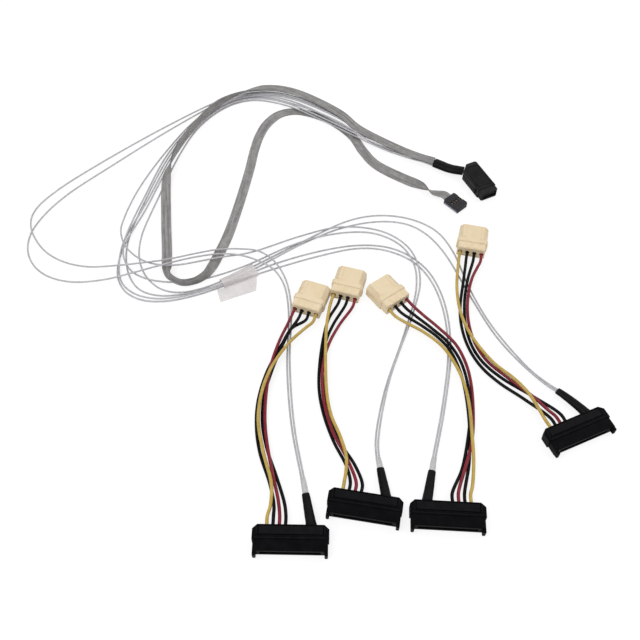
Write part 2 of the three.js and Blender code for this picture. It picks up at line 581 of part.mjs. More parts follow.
function driveHousing() {
  const rear = block(
    [
      [-DRIVE_REAR_HALF_WIDTH, 0],
      [-DRIVE_HALF_WIDTH, -DRIVE_SHOULDER],
      [-DRIVE_HALF_WIDTH, -DRIVE_REAR_DEPTH],
      [DRIVE_HALF_WIDTH, -DRIVE_REAR_DEPTH],
      [DRIVE_HALF_WIDTH, -DRIVE_SHOULDER],
      [DRIVE_REAR_HALF_WIDTH, 0],
    ],
    0,
    DRIVE_HEIGHT,
    0.5,
  );
  const nose = block(
    rectangle(
      -DRIVE_NOSE_HALF_WIDTH,
      DRIVE_NOSE_HALF_WIDTH,
      -DRIVE_NOSE_FRONT,
      -DRIVE_REAR_DEPTH + 1,
    ),
    DRIVE_NOSE_LOW,
    DRIVE_NOSE_HIGH,
    0.35,
  );
  const arm = block(
    rectangle(
      DRIVE_ARM_INNER,
      DRIVE_ARM_OUTER,
      -DRIVE_ARM_FRONT,
      -DRIVE_REAR_DEPTH + 1.5,
      0.4,
    ),
    1.4,
    6.6,
    0.3,
  );
  const slot = box(
    -DRIVE_SLOT_HALF_WIDTH,
    DRIVE_SLOT_HALF_WIDTH,
    -DRIVE_NOSE_FRONT - 1,
    -DRIVE_SLOT_BACK,
    DRIVE_SLOT_LOW,
    DRIVE_SLOT_HIGH,
  );
  const recess = box(
    -COVER_HALF_WIDTH - FIT_GAP,
    COVER_HALF_WIDTH + FIT_GAP,
    -COVER_FAR - FIT_GAP,
    -COVER_NEAR + FIT_GAP,
    COVER_LOW - FIT_GAP,
    DRIVE_HEIGHT + 1,
  );
  return rear
    .add(nose)
    .add(arm)
    .add(arm.scale([-1, 1, 1]))
    .subtract(slot)
    .subtract(recess);
}

function driveCover() {
  return block(
    rectangle(-COVER_HALF_WIDTH, COVER_HALF_WIDTH, -COVER_FAR, -COVER_NEAR),
    COVER_LOW,
    DRIVE_HEIGHT,
    0.15,
  );
}

function contactInsert() {
  return block(
    rectangle(
      -INSERT_HALF_WIDTH,
      INSERT_HALF_WIDTH,
      -INSERT_FRONT,
      -DRIVE_SLOT_BACK - FIT_GAP,
    ),
    INSERT_LOW,
    INSERT_HIGH,
    0.2,
  );
}

function bootGeometry(drive, end) {
  const turn = THREE.MathUtils.degToRad(drive.turn);
  const root = [...placedPoint(drive, BOOT_X, FIT_GAP), BOOT_Z];
  const tip = [...end.tip, BOOT_TIP_Z];
  const rootWay = [-Math.sin(turn), Math.cos(turn)];
  const reach = 0.5 * Math.hypot(tip[0] - root[0], tip[1] - root[1]);
  const bend = [
    end.tip[0] - end.way[0] * reach,
    end.tip[1] - end.way[1] * reach,
    (BOOT_Z + BOOT_TIP_Z) / 2,
  ];
  const rings = [];
  for (let i = 0; i < BOOT_RINGS; i++) {
    const share = i / (BOOT_RINGS - 1);
    const centre = mix(mix(root, bend, share), mix(bend, tip, share), share);
    const heading = mix(rootWay, end.way, share);
    const [halfWidth, halfHeight] = mix(BOOT_ROOT, BOOT_TIP, share);
    rings.push(ovalRing(centre, heading, halfWidth, halfHeight));
  }
  return loft(rings);
}

// The section of a power connector's shroud, drawn in from its outside by a margin.
function shroudSection(margin) {
  const side = POWER_SHROUD_HALF_WIDTH - margin;
  const low = POWER_SHROUD_LOW + margin;
  const high = POWER_SHROUD_HIGH - margin;
  const key = POWER_KEY - margin / 2;
  return [
    [-side, low],
    [side, low],
    [side, high - key],
    [side - key, high],
    [-side + key, high],
    [-side, high - key],
  ];
}

function powerHousing() {
  const entry = bar(
    rectangle(
      -POWER_BLOCK_HALF_WIDTH,
      POWER_BLOCK_HALF_WIDTH,
      POWER_BLOCK_LOW,
      POWER_BLOCK_HIGH,
      0.6,
    ),
    0,
    POWER_BLOCK_FAR,
    0.4,
  );
  const collar = bar(
    rectangle(-POWER_COLLAR_HALF_WIDTH, POWER_COLLAR_HALF_WIDTH, 0, POWER_HEIGHT, 1.4),
    POWER_COLLAR_NEAR,
    POWER_COLLAR_FAR,
    0.4,
  );
  const shroud = bar(shroudSection(0), POWER_COLLAR_FAR - 1, POWER_LENGTH, 0.3);
  const cavity = bar(shroudSection(POWER_WALL), POWER_CAVITY_NEAR, POWER_LENGTH + 1);
  let housing = entry.add(collar).add(shroud).subtract(cavity);
  for (let i = 0; i < 4; i++) {
    const pin = new THREE.CylinderGeometry(
      PIN_RADIUS,
      PIN_RADIUS,
      PIN_FRONT - POWER_CAVITY_NEAR + 1,
      8,
    );
    const x = (i - 1.5) * PIN_PITCH;
    pin.translate(x, (PIN_FRONT + POWER_CAVITY_NEAR - 1) / 2, PIN_Z);
    housing = housing.add(solidOf(pin));
  }
  return housing;
}

function plugHousing() {
  const body = block(
    [
      [PLUG_REAR, -PLUG_HALF_WIDTH + PLUG_CORNER],
      [PLUG_REAR + PLUG_CORNER, -PLUG_HALF_WIDTH],
      [PLUG_BODY_FRONT, -PLUG_HALF_WIDTH],
      [PLUG_BODY_FRONT, PLUG_HALF_WIDTH],
      [PLUG_REAR + 1.2, PLUG_HALF_WIDTH],
      [PLUG_REAR, PLUG_HALF_WIDTH - 1.2],
    ],
    PLUG_LOW,
    PLUG_HIGH,
    0.6,
  );
  const nose = block(
    rectangle(
      PLUG_BODY_FRONT - 1,
      PLUG_LENGTH,
      -PLUG_NOSE_HALF_WIDTH,
      PLUG_NOSE_HALF_WIDTH,
      0.8,
    ),
    PLUG_NOSE_LOW,
    PLUG_NOSE_HIGH,
    0.3,
  );
  const nub = block(
    rectangle(22.6, 24.2, -PLUG_HALF_WIDTH - 1.2, -PLUG_HALF_WIDTH + 1),
    2.4,
    6,
    0.2,
  );
  const mouth = box(
    PLUG_MOUTH_BACK,
    PLUG_LENGTH + 1,
    -PLUG_MOUTH_HALF_WIDTH,
    PLUG_MOUTH_HALF_WIDTH,
    PLUG_MOUTH_LOW,
    PLUG_MOUTH_HIGH,
  );
  const recess = box(
    LID_NEAR - FIT_GAP,
    LID_FAR + FIT_GAP,
    -LID_HALF_WIDTH - FIT_GAP,
    LID_HALF_WIDTH + FIT_GAP,
    LID_LOW - FIT_GAP,
    PLUG_HIGH + 1,
  );
  return body.add(nose).add(nub).subtract(mouth).subtract(recess);
}

function plugCover() {
  return block(
    rectangle(LID_NEAR, LID_FAR, -LID_HALF_WIDTH, LID_HALF_WIDTH, 0.4),
    LID_LOW,
    PLUG_HIGH,
    0.15,
  );
}

function plugCard() {
  return block(
    rectangle(PLUG_MOUTH_BACK + FIT_GAP, CARD_FRONT, -CARD_HALF_WIDTH, CARD_HALF_WIDTH),
    CARD_LOW,
    CARD_HIGH,
    0.2,
  );
}

function sleeveWay(i) {
  if (i === 0) return SLEEVE_START_WAY;
  if (i === SLEEVE_PATH.length - 1) return SLEEVE_END_WAY;
  const before = SLEEVE_PATH[i - 1];
  const after = SLEEVE_PATH[i + 1];
  return [after[0] - before[0], after[1] - before[1]];
}

function sleeveGeometry() {
  const rings = SLEEVE_PATH.map((centre, i) => {
    const share = i / (SLEEVE_PATH.length - 1);
    const [halfWidth, halfHeight] = mix(SLEEVE_ROOT, SLEEVE_TIP, share);
    return ovalRing(centre, sleeveWay(i), halfWidth, halfHeight);
  });
  return loft(rings);
}

function sidebandHousing() {
  let housing = block(
    rectangle(0, SIDEBAND_LENGTH, -SIDEBAND_HALF_WIDTH, SIDEBAND_HALF_WIDTH),
    0,
    SIDEBAND_HEIGHT,
    0.3,
  );
  for (let i = 0; i < 4; i++) {
    const y = (i - 1.5) * SIDEBAND_PITCH;
    housing = housing.subtract(
      box(
        WINDOW_NEAR,
        WINDOW_FAR,
        y - WINDOW_HALF_WIDTH,
        y + WINDOW_HALF_WIDTH,
        SIDEBAND_HEIGHT - WINDOW_DEPTH,
        SIDEBAND_HEIGHT + 1,
      ),
    );
    for (const z of SOCKET_ROWS) {
      housing = housing.subtract(
        box(
          SIDEBAND_LENGTH - SOCKET_DEPTH,
          SIDEBAND_LENGTH + 1,
          y - SOCKET_HALF,
          y + SOCKET_HALF,
          z - SOCKET_HALF,
          z + SOCKET_HALF,
        ),
      );
    }
  }
  return housing;
}

// The label: a sheet arched over the wires, its two feet on the table, and a flag.
function label() {
  const first = LABEL_STATIONS[0];
  const final = LABEL_STATIONS[LABEL_STATIONS.length - 1];
  const size = Math.hypot(final[0] - first[0], final[1] - first[1]);
  const across = [-(final[1] - first[1]) / size, (final[0] - first[0]) / size];
  const rings = LABEL_STATIONS.map(([x, y, half, high]) => {
    const outer = half + LABEL_SHEET;
    const section = [
      [-half, LABEL_LOW],
      [-half, 1.9],
      [-half + 0.9, high],
      [half - 1.6, high - 0.7],
      [half, 1.2],
      [half, LABEL_LOW],
      [outer, LABEL_LOW],
      [outer, 1.35],
      [half - 1.45, high - 0.3],
      [-half + 0.7, high + LABEL_SHEET],
      [-outer, 2],
      [-outer, LABEL_LOW],
    ];
    return section.map(([side, z]) => [x + across[0] * side, y + across[1] * side, z]);
  });
  return archSolid(rings).add(block(LABEL_FLAG, LABEL_LOW, LABEL_FLAG_HIGH));
}

// A skin over rings that aren't convex: each end is closed as a strip between the inner
// and the outer half of its ring.
function archSolid(rings) {
  const count = rings[0].length;
  const position = rings.flat(2);
  const index = [];
  for (let r = 0; r + 1 < rings.length; r++) {
    for (let i = 0; i < count; i++) {
      const a = r * count + i;
      const b = r * count + ((i + 1) % count);
      index.push(a, b, b + count, a, b + count, a + count);
    }
  }
  const last = (rings.length - 1) * count;
  for (let i = 0; i + 1 < count / 2; i++) {
    const near = count - 1 - i;
    index.push(i, near, i + 1, near, near - 1, i + 1);
    index.push(last + i, last + i + 1, last + near);
    index.push(last + near, last + i + 1, last + near - 1);
  }
  const geometry = new THREE.BufferGeometry();
  geometry.setAttribute("position", new THREE.Float32BufferAttribute(position, 3));
  geometry.setIndex(index);
  const solid = solidOf(geometry);
  return solid.volume() > 0 ? solid : solidOf(turnedInsideOut(geometry));
}

function turnedInsideOut(geometry) {
  const index = Array.from(geometry.index.array);
  for (let i = 0; i < index.length; i += 3) {
    [index[i + 1], index[i + 2]] = [index[i + 2], index[i + 1]];
  }
  geometry.setIndex(index);
  return geometry;
}

const group = new THREE.Group();
group.name = "breakout_cable";
group.position.set(...SHIFT);

function add(name, geometry, colour, roughness, metalness = 0) {
  const material = new THREE.MeshStandardMaterial({ color: colour, roughness, metalness });
  material.name = name;
  const mesh = new THREE.Mesh(geometry, material);
  mesh.name = name;
  group.add(mesh);
}

const BLACK = 0x17171a;
const COLOURS = { yellow: 0xc9a33a, red: 0x8c2433, black: 0x16161a };

add("plug_housing", geometryOf(placed(plugHousing(), PLUG)), 0x1b1b1d, 0.5);
add("plug_cover", geometryOf(placed(plugCover(), PLUG)), 0x202022, 0.5);
add("plug_card", geometryOf(placed(plugCard(), PLUG)), 0x2c4a35, 0.5);
add("plug_sleeve", geometryOf(solidOf(sleeveGeometry())), 0x1c1c1a, 0.6);
add("sideband_housing", geometryOf(placed(sidebandHousing(), SIDEBAND)), 0x35353a, 0.5);
add("sideband_ribbon", ribbonGeometry(RIBBON_ROUTE), 0x9a9896, 0.5);
add("label_flag", geometryOf(label()), 0xdedadd, 0.3);

DRIVES.forEach((drive, i) => {
  const number = i + 1;
  add(`drive_housing_${number}`, geometryOf(placed(driveHousing(), drive)), BLACK, 0.5);
  add(`drive_cover_${number}`, geometryOf(placed(driveCover(), drive)), 0x1d1d20, 0.5);
  add(`contact_insert_${number}`, geometryOf(placed(contactInsert(), drive)), 0x232325, 0.6);
  add(
    `data_boot_${number}`,
    geometryOf(solidOf(bootGeometry(drive, BOOT_ENDS[i]))),
    0x1a1819,
    0.6,
  );
});
POWERS.forEach((power, i) => {
  add(`power_housing_${i + 1}`, geometryOf(placed(powerHousing(), power)), 0xead9b5, 0.5);
});
for (const [name, points] of Object.entries(DATA_ROUTES)) {
  add(name, wireGeometry(points, DATA_RADIUS), 0xc4c4c6, 0.35);
}
for (const [name, points] of Object.entries(POWER_ROUTES)) {
  add(name, wireGeometry(points, POWER_RADIUS), COLOURS[name.split("_")[3]], 0.45);
}

export default group;
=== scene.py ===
"""Look of a breakout cable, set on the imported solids.

The scene adds what the plain solids leave out: smooth wires, the ridged ribbon, metal
contacts and pins, shrunk boots and sleeve, clear wraps, softened edges and procedural
materials. It also sets the camera, the soft light and the pale floor.
"""

import logging
import math
from dataclasses import dataclass
from enum import Enum
from typing import Iterable, Sequence

import bpy
import numpy as np
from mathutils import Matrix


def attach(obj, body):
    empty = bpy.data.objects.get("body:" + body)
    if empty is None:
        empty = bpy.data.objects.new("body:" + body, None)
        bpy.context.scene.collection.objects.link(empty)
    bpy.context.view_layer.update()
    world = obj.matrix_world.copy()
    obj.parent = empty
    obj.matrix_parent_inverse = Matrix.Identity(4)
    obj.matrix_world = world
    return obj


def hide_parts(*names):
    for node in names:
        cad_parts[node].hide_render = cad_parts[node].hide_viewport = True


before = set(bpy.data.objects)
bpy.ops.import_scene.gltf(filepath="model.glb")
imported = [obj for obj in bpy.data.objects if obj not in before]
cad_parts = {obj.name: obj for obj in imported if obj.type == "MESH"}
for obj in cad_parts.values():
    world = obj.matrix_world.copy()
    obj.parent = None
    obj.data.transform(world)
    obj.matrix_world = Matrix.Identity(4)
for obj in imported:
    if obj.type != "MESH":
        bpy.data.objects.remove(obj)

logging.basicConfig(level=logging.INFO, format="%(message)s")
LOG = logging.getLogger("breakout_cable")

Point = tuple[float, float, float]

MM = 0.001
# Moves the measured places to the row frame, whose origin is under the connectors.
SHIFT = np.array([-55.13, 6.64, 0.0])

# Wires and ribbon, in millimetres
DATA_RADIUS = 0.62
POWER_RADIUS = 1.05
RIBBON_WIDTH = 7.4
RIBBON_THICKNESS = 0.9
CONDUCTORS = 8
STREAK_LENGTH = 120.0
WIRE_SAMPLES = 10
RIBBON_SAMPLES = 8
TUCKED_IN = 0.9

# Camera: raised 55 degrees over the table, 552 mm from the point it looks at
CAMERA_ELEVATION = math.radians(55.0)
CAMERA_DISTANCE = 0.552
CAMERA_LENS = 45.56
CAMERA_SENSOR = 36.0


@dataclass(frozen=True)
class Place:
    """Where a connector lies on the table.

    Args:
        x: Millimetres to the right of the measured point.
        y: Millimetres away from the camera.
        turn: Degrees about z.
        flipped: Whether the connector is the other way up, which mirrors its x.
    """

    x: float
    y: float
    turn: float
    flipped: bool = False

    def on_table(self, points: np.ndarray) -> np.ndarray:
        """Points of the connector's own frame, in metres in the row frame.

        Args:
            points: n x 3 array in millimetres.

        Returns:
            n x 3 array: the turned points plus the place and the shift.
        """
        local = np.array(points, float)
        if self.flipped:
            local[:, 0] *= -1.0
        angle = math.radians(self.turn)
        cosine, sine = math.cos(angle), math.sin(angle)
        x = self.x + local[:, 0] * cosine - local[:, 1] * sine
        y = self.y + local[:, 0] * sine + local[:, 1] * cosine
        return (np.column_stack([x, y, local[:, 2]]) + SHIFT) * MM


DRIVES = (
    Place(-16.6, -147.3, -1.0),
    Place(27.2, -127.9, -9.6),
    Place(74.2, -133.2, -3.2, flipped=True),
    Place(155.7, -78.8, 23.5),
)
POWERS = (
    Place(-9.9, 3.5, -19.8, flipped=True),
    Place(16.7, 16.0, -16.1),
    Place(53.3, 9.5, 36.1),
    Place(107.8, 55.1, -12.5),
)
PLUG = Place(114.4, 141.0, -64.5)
SIDEBAND = Place(97.4, 111.0, -48.4)
TABLE = Place(0.0, 0.0, 0.0)

# Drive connector, in its own frame
INSERT_LOW = 3.5
INSERT_HIGH = 4.5
WIRE_X = {"yellow": -14.0, "black_a": -10.4, "red": -6.8, "black_b": -3.2}
WIRE_Z = 4.0
# Power connector, in its own frame
PIN_X = (-7.62, -2.54, 2.54, 7.62)
PIN_Z = 5.1
DRIVE_CONTACTS = 29
DRIVE_CONTACT_PITCH = 1.1
DRIVE_CONTACT_HALF = 0.24
DRIVE_CONTACT_NEAR = -10.5
DRIVE_CONTACT_FAR = -14.6
CONTACT_PROUD = 0.1
CONTACT_SUNK = 0.02
# (y, radius) of the collar round a wire
COLLAR_PROFILE = ((-0.3, 1.5), (0.0, 1.62), (0.22, 1.55), (0.3, 1.3), (0.28, 1.08), (-0.2, 1.06))
# (y, radius) of a power pin and of the ring of painted shade round a power wire, where the hole's shade
# falls
PIN_PROFILE = ((11.9, 1.12), (19.6, 1.12), (20.2, 1.0), (20.6, 0.75), (20.75, 0.4))
HOLE_SHADE_PROFILE = ((-0.02, 1.55), (0.0, 1.5), (0.02, 1.2))
# Card contacts of the plug
PLUG_CONTACTS = 18
PLUG_CONTACT_PITCH = 0.58
PLUG_CONTACT_HALF = 0.18
PLUG_CONTACT_NEAR = 28.2
PLUG_CONTACT_FAR = 31.0
SIDEBAND_COLUMNS = 4
SIDEBAND_PITCH = 2.54
# Oval half widths and half heights of the shrunk tubes
BOOT_ROOT_HALVES = (3.2, 2.75)
BOOT_TIP_HALVES = (2.35, 1.7)
SLEEVE_ROOT_HALVES = (3.9, 2.7)
SLEEVE_TIP_HALVES = (4.25, 2.75)
WRAP_ROOT_HALVES = (1.95, 1.2)
WRAP_TIP_HALVES = (1.6, 0.95)
SLEEVE_START_WAY = (-0.942, 0.334)
SLEEVE_END_WAY = (-0.876, 0.482)
# The last two rings of a shrunk tube close in by these shares
LIP_SHARES = ((0.985,), (0.95,))
# Boots: root at the connector, tip and the way the wires leave it
BOOT_X = 11.8
BOOT_ROOT_Z = 4.0
BOOT_TIP_Z = 2.2
BOOT_GAP = 0.3
BOOT_ENDS = (
    ((-8.5, -126.6), (-0.174, 0.985)),
    ((36.2, -110.3), (-0.137, 0.991)),
    ((67.2, -112.1), (0.228, 0.974)),
    ((151.5, -56.6), (-0.722, 0.692)),
)
WRAP_LENGTHS = (10.5, 7.0, 9.0)

SLEEVE_PATH: list[Point] = [
    (111.16, 138.02, 4.2),
    (106.6, 139.2, 4.1),
    (102.4, 140.6, 3.8),
    (98.6, 142.7, 3.4),
    (94.4, 145.6, 3.1),
    (89.61, 148.59, 2.9),
]

# Routes in millimetres, the same points as the solids follow. They were laid by a settling program from
# lines read off, so that no wire passes through another.
DATA_ROUTES: dict[str, list[Point]] = {
    "data_wire_1a": [
        (90.4, 150.7, 3.2), (82.5, 155.1, 3.2), (67.4, 165, 2.2), (32.1, 189.3, 3.5),
        (-3.7, 220.4, 2.5), (-27.6, 233.8, 1.3), (-45.3, 238, 0.7), (-64.4, 235, 0.7),
        (-87.2, 222.5, 0.7), (-123.7, 194.2, 0.7), (-169.9, 152.9, 0.7), (-200.7, 121.5, 0.7),
        (-212.7, 103.4, 0.9), (-214.7, 90.3, 1.9), (-210.9, 76.5, 2.4), (-199.8, 60.9, 1.3),
        (-185, 50.5, 1.5), (-165.9, 44.4, 2.7), (-143.8, 42.8, 6), (-126, 44.6, 6.8),
        (-108.5, 48.2, 6.2), (-89.2, 53.4, 6.4), (-73.5, 57.4, 6), (-57.4, 59.5, 4.3),
        (-44.1, 57.6, 4.1), (-33.3, 49.7, 3.3), (-24.5, 34.5, 2), (-20.1, 13.4, 0.7),
        (-19.8, -35.4, 1.1), (-15.9, -82.7, 2), (-9.2, -118.3, 1.5), (-7.8, -126.2, 2.2),
    ],
    "data_wire_1b": [
        (90.4, 150.7, 1.6), (82.5, 155.1, 1.6), (67.1, 163.9, 0.7), (25.6, 193.7, 2),
        (-7.8, 221.2, 1.6), (-29.8, 232.5, 1), (-49.1, 235.5, 0.7), (-68.1, 231.5, 0.7),
        (-85.1, 221.2, 0.7), (-121.3, 189.4, 0.7), (-163.7, 147.1, 0.7), (-193.6, 115.2, 0.7),
        (-207.5, 92.9, 0.7), (-212.7, 75.7, 0.7), (-211.3, 60.1, 0.7), (-203.7, 46.2, 0.7),
        (-191.3, 36.6, 0.8), (-173.8, 31.8, 1.2), (-151, 32.2, 3.5), (-131.6, 36.4, 5.8),
        (-116.7, 40.9, 6.8), (-101.5, 45.7, 7.3), (-88, 49.6, 7.3), (-72.2, 52.6, 7),
        (-58.1, 52.5, 6), (-44.6, 49.1, 4), (-33.4, 42.1, 3.2), (-25.5, 29.7, 1.6),
        (-21.7, 8.4, 0.7), (-21.4, -40.4, 0.8), (-17.7, -81.7, 0.7), (-10.7, -118.6, 1.5),
        (-9.3, -126.4, 2.2),
    ],
    "data_wire_2a": [
        (89.7, 149.4, 3.2), (81.8, 153.7, 3.2), (67.5, 162.8, 2.2), (36.9, 183.5, 3),
        (-2, 213.1, 3.4), (-27.4, 228.3, 2), (-48.6, 233.4, 1), (-65.4, 230.5, 0.7),
        (-84.2, 219.7, 0.7), (-102.1, 200.6, 0.7), (-121.6, 165.1, 0.9), (-138.8, 120.2, 2.2),
        (-145, 89.8, 3.9), (-144.9, 73.9, 6.3), (-139.4, 59.9, 6.5), (-129.2, 50.3, 5.1),
        (-116.3, 44.7, 5), (-100.6, 43.4, 6), (-84.8, 46.1, 6.9), (-71.3, 50, 6.3),
        (-50.7, 57.4, 2.6), (-14.4, 73.7, 1.8), (10.4, 81.2, 2.6), (30.8, 82.5, 1.4),
        (48.1, 78.1, 0.7), (61.3, 66.8, 1.5), (68.3, 52.4, 2.5), (70.4, 32.4, 1.7),
        (64.3, 6.7, 1.5), (44.3, -50.9, 3.1), (35.9, -91.4, 2.3), (35.9, -102, 1.5),
        (36.9, -109.9, 2.2),
    ],
    "data_wire_2b": [
        (89.7, 149.4, 1.6), (81.8, 153.7, 1.6), (56.4, 167.8, 0.7), (10, 200.9, 5.6),
        (-19.6, 220.1, 4.8), (-40.6, 228.8, 2.9), (-57.7, 230.3, 1.7), (-73.5, 224.9, 1.1),
        (-90.6, 211.3, 0.8), (-107.7, 188.3, 0.7), (-122, 157.2, 0.9), (-132.8, 114.8, 1.9),
        (-139.1, 82.6, 4.5), (-141.6, 64.6, 5), (-140, 51.4, 4), (-133.5, 40.5, 2.8),
        (-122.1, 33.8, 2.5), (-104.2, 31.7, 1.1), (-82.1, 34.9, 0.7), (-54.3, 46.1, 0.9),
        (-21.2, 64, 2.5), (0.9, 73.3, 2), (24.9, 78.5, 0.8), (40.5, 76.9, 0.8),
        (54.1, 69.1, 1.5), (62.8, 58.1, 2.4), (67.6, 43.2, 2.1), (66.8, 23.3, 0.8),
        (56.7, -11.5, 0.8), (41.4, -56.3, 0.9), (34.4, -89.6, 0.7), (34.3, -102.2, 1.5),
        (35.4, -110.1, 2.2),
    ],
    "data_wire_3a": [
        (89, 148.1, 1.6), (81.1, 152.4, 1.6), (45.4, 171.1, 0.7), (19.4, 187.3, 7.2),
        (-0.7, 202.6, 6.4), (-23.8, 218.6, 2.8), (-43, 227.1, 1.1), (-59.9, 228, 0.7),
        (-73.7, 222.5, 0.7), (-89, 209.3, 0.7), (-104.4, 187.4, 0.7), (-117.3, 158.2, 0.7),
        (-130.6, 110.1, 1.3), (-139.3, 79.2, 2.9), (-143, 61.6, 3.5), (-142.8, 43.2, 1.8),
        (-138.4, 29.9, 1.6), (-128.4, 20.9, 1.7), (-113.8, 16.8, 1.9), (-95.9, 18.4, 2.2),
        (-70.5, 27.7, 2.3), (-32.3, 48, 1.4), (1.6, 60.7, 0.8), (27.6, 65.8, 0.7),
        (47.2, 64.4, 0.7), (61.5, 58, 0.7), (74.3, 45.7, 0.7), (82.2, 29.7, 0.7),
        (87, 5.7, 0.7), (86.5, -26.3, 0.8), (78.9, -67.8, 1.8), (69.8, -104.2, 1.5),
        (68, -112, 2.2),
    ],
    "data_wire_3b": [
        (88.3, 146.8, 3.2), (80.4, 151.1, 3.2), (65.4, 159.5, 2.1), (46.1, 169.3, 2.7),
        (23.2, 182.6, 5.6), (-2.1, 201.3, 4.8), (-27.7, 218.5, 3.1), (-44.8, 224.3, 2.4),
        (-60.6, 224.2, 2.4), (-76.2, 217.1, 2.4), (-90.5, 203.2, 2.4), (-104.6, 181, 2.3),
        (-117.7, 148.3, 1.8), (-131.3, 98.8, 1.5), (-140.2, 70.1, 2.4), (-144.2, 50.8, 0.8),
        (-142.4, 35, 0.7), (-135.5, 23.4, 0.7), (-124.2, 16.7, 0.7), (-108.8, 15.2, 0.7),
        (-86.4, 20.4, 0.7), (-46.4, 38.3, 0.7), (-1.6, 55.4, 0.7), (25.8, 62.6, 0.7),
        (43.4, 62, 0.7), (59.8, 55.4, 0.7), (71.4, 45, 0.7), (79.6, 29.2, 0.7),
        (84.8, 5.1, 0.8), (84.7, -27, 0.8), (77.3, -67.9, 0.7), (68.3, -103.8, 1.5),
        (66.5, -111.6, 2.2),
    ],
    "data_wire_4a": [
        (88.3, 146.8, 1.6), (80.4, 151.1, 1.6), (73.4, 154.4, 1), (52.7, 163.7, 1.7),
        (27.5, 179.1, 3.2), (2, 197.6, 2.6), (-20.6, 212.5, 2.6), (-41, 222.4, 0.9),
        (-55.9, 224.7, 0.7), (-71.7, 220, 0.7), (-85.8, 208.8, 0.7), (-99.3, 190.3, 0.7),
        (-109.9, 164.3, 0.7), (-123.6, 110.5, 0.7), (-131, 72.9, 0.7), (-129.7, 53, 0.7),
        (-123.5, 38, 0.7), (-112.8, 26.9, 0.7), (-100.4, 23, 0.7), (-84.5, 25.8, 0.7),
        (-60.9, 37.9, 0.7), (-9.5, 71.5, 0.7), (19.9, 89.1, 0.7), (38.8, 94.5, 0.7),
        (59, 93.7, 0.7), (75.8, 87.3, 0.7), (87.5, 77.2, 0.7), (96.2, 59.6, 0.7),
        (104.7, 25.2, 1.3), (116.1, -6.7, 2.2), (136.3, -39, 0.7), (146, -50.3, 1.5),
        (151.8, -55.8, 2.2),
    ],
    "data_wire_4b": [
        (89, 148.1, 3.2), (81.1, 152.4, 3.2), (64.5, 162.3, 2.2), (27.9, 183.5, 3.2),
        (-10.1, 211.9, 4.2), (-31.6, 224, 3.2), (-48.7, 228.1, 2.6), (-64, 226.3, 2.3),
        (-78.1, 219.3, 2.3), (-92.6, 205, 2.3), (-108, 182, 2.3), (-120.5, 153.4, 1.7),
        (-132.7, 109.7, 0.8), (-139.8, 72.7, 0.7), (-139.1, 52.5, 0.7), (-134.4, 36.6, 0.7),
        (-126.6, 25.9, 0.7), (-115.1, 20.7, 0.8), (-99.3, 20.5, 1), (-77.1, 26.7, 1.1),
        (-52.6, 39.9, 1), (-13.1, 67.1, 0.7), (13.3, 81.3, 0.7), (36.5, 88, 0.7),
        (54.5, 88.5, 0.7), (67.3, 84.8, 0.7), (79.3, 75.1, 0.7), (90.2, 57.6, 0.7),
        (103.5, 22, 0.7), (117.6, -13, 0.9), (132, -36.6, 1.8), (145, -51.4, 1.5),
        (150.7, -57, 2.2),
    ],
}
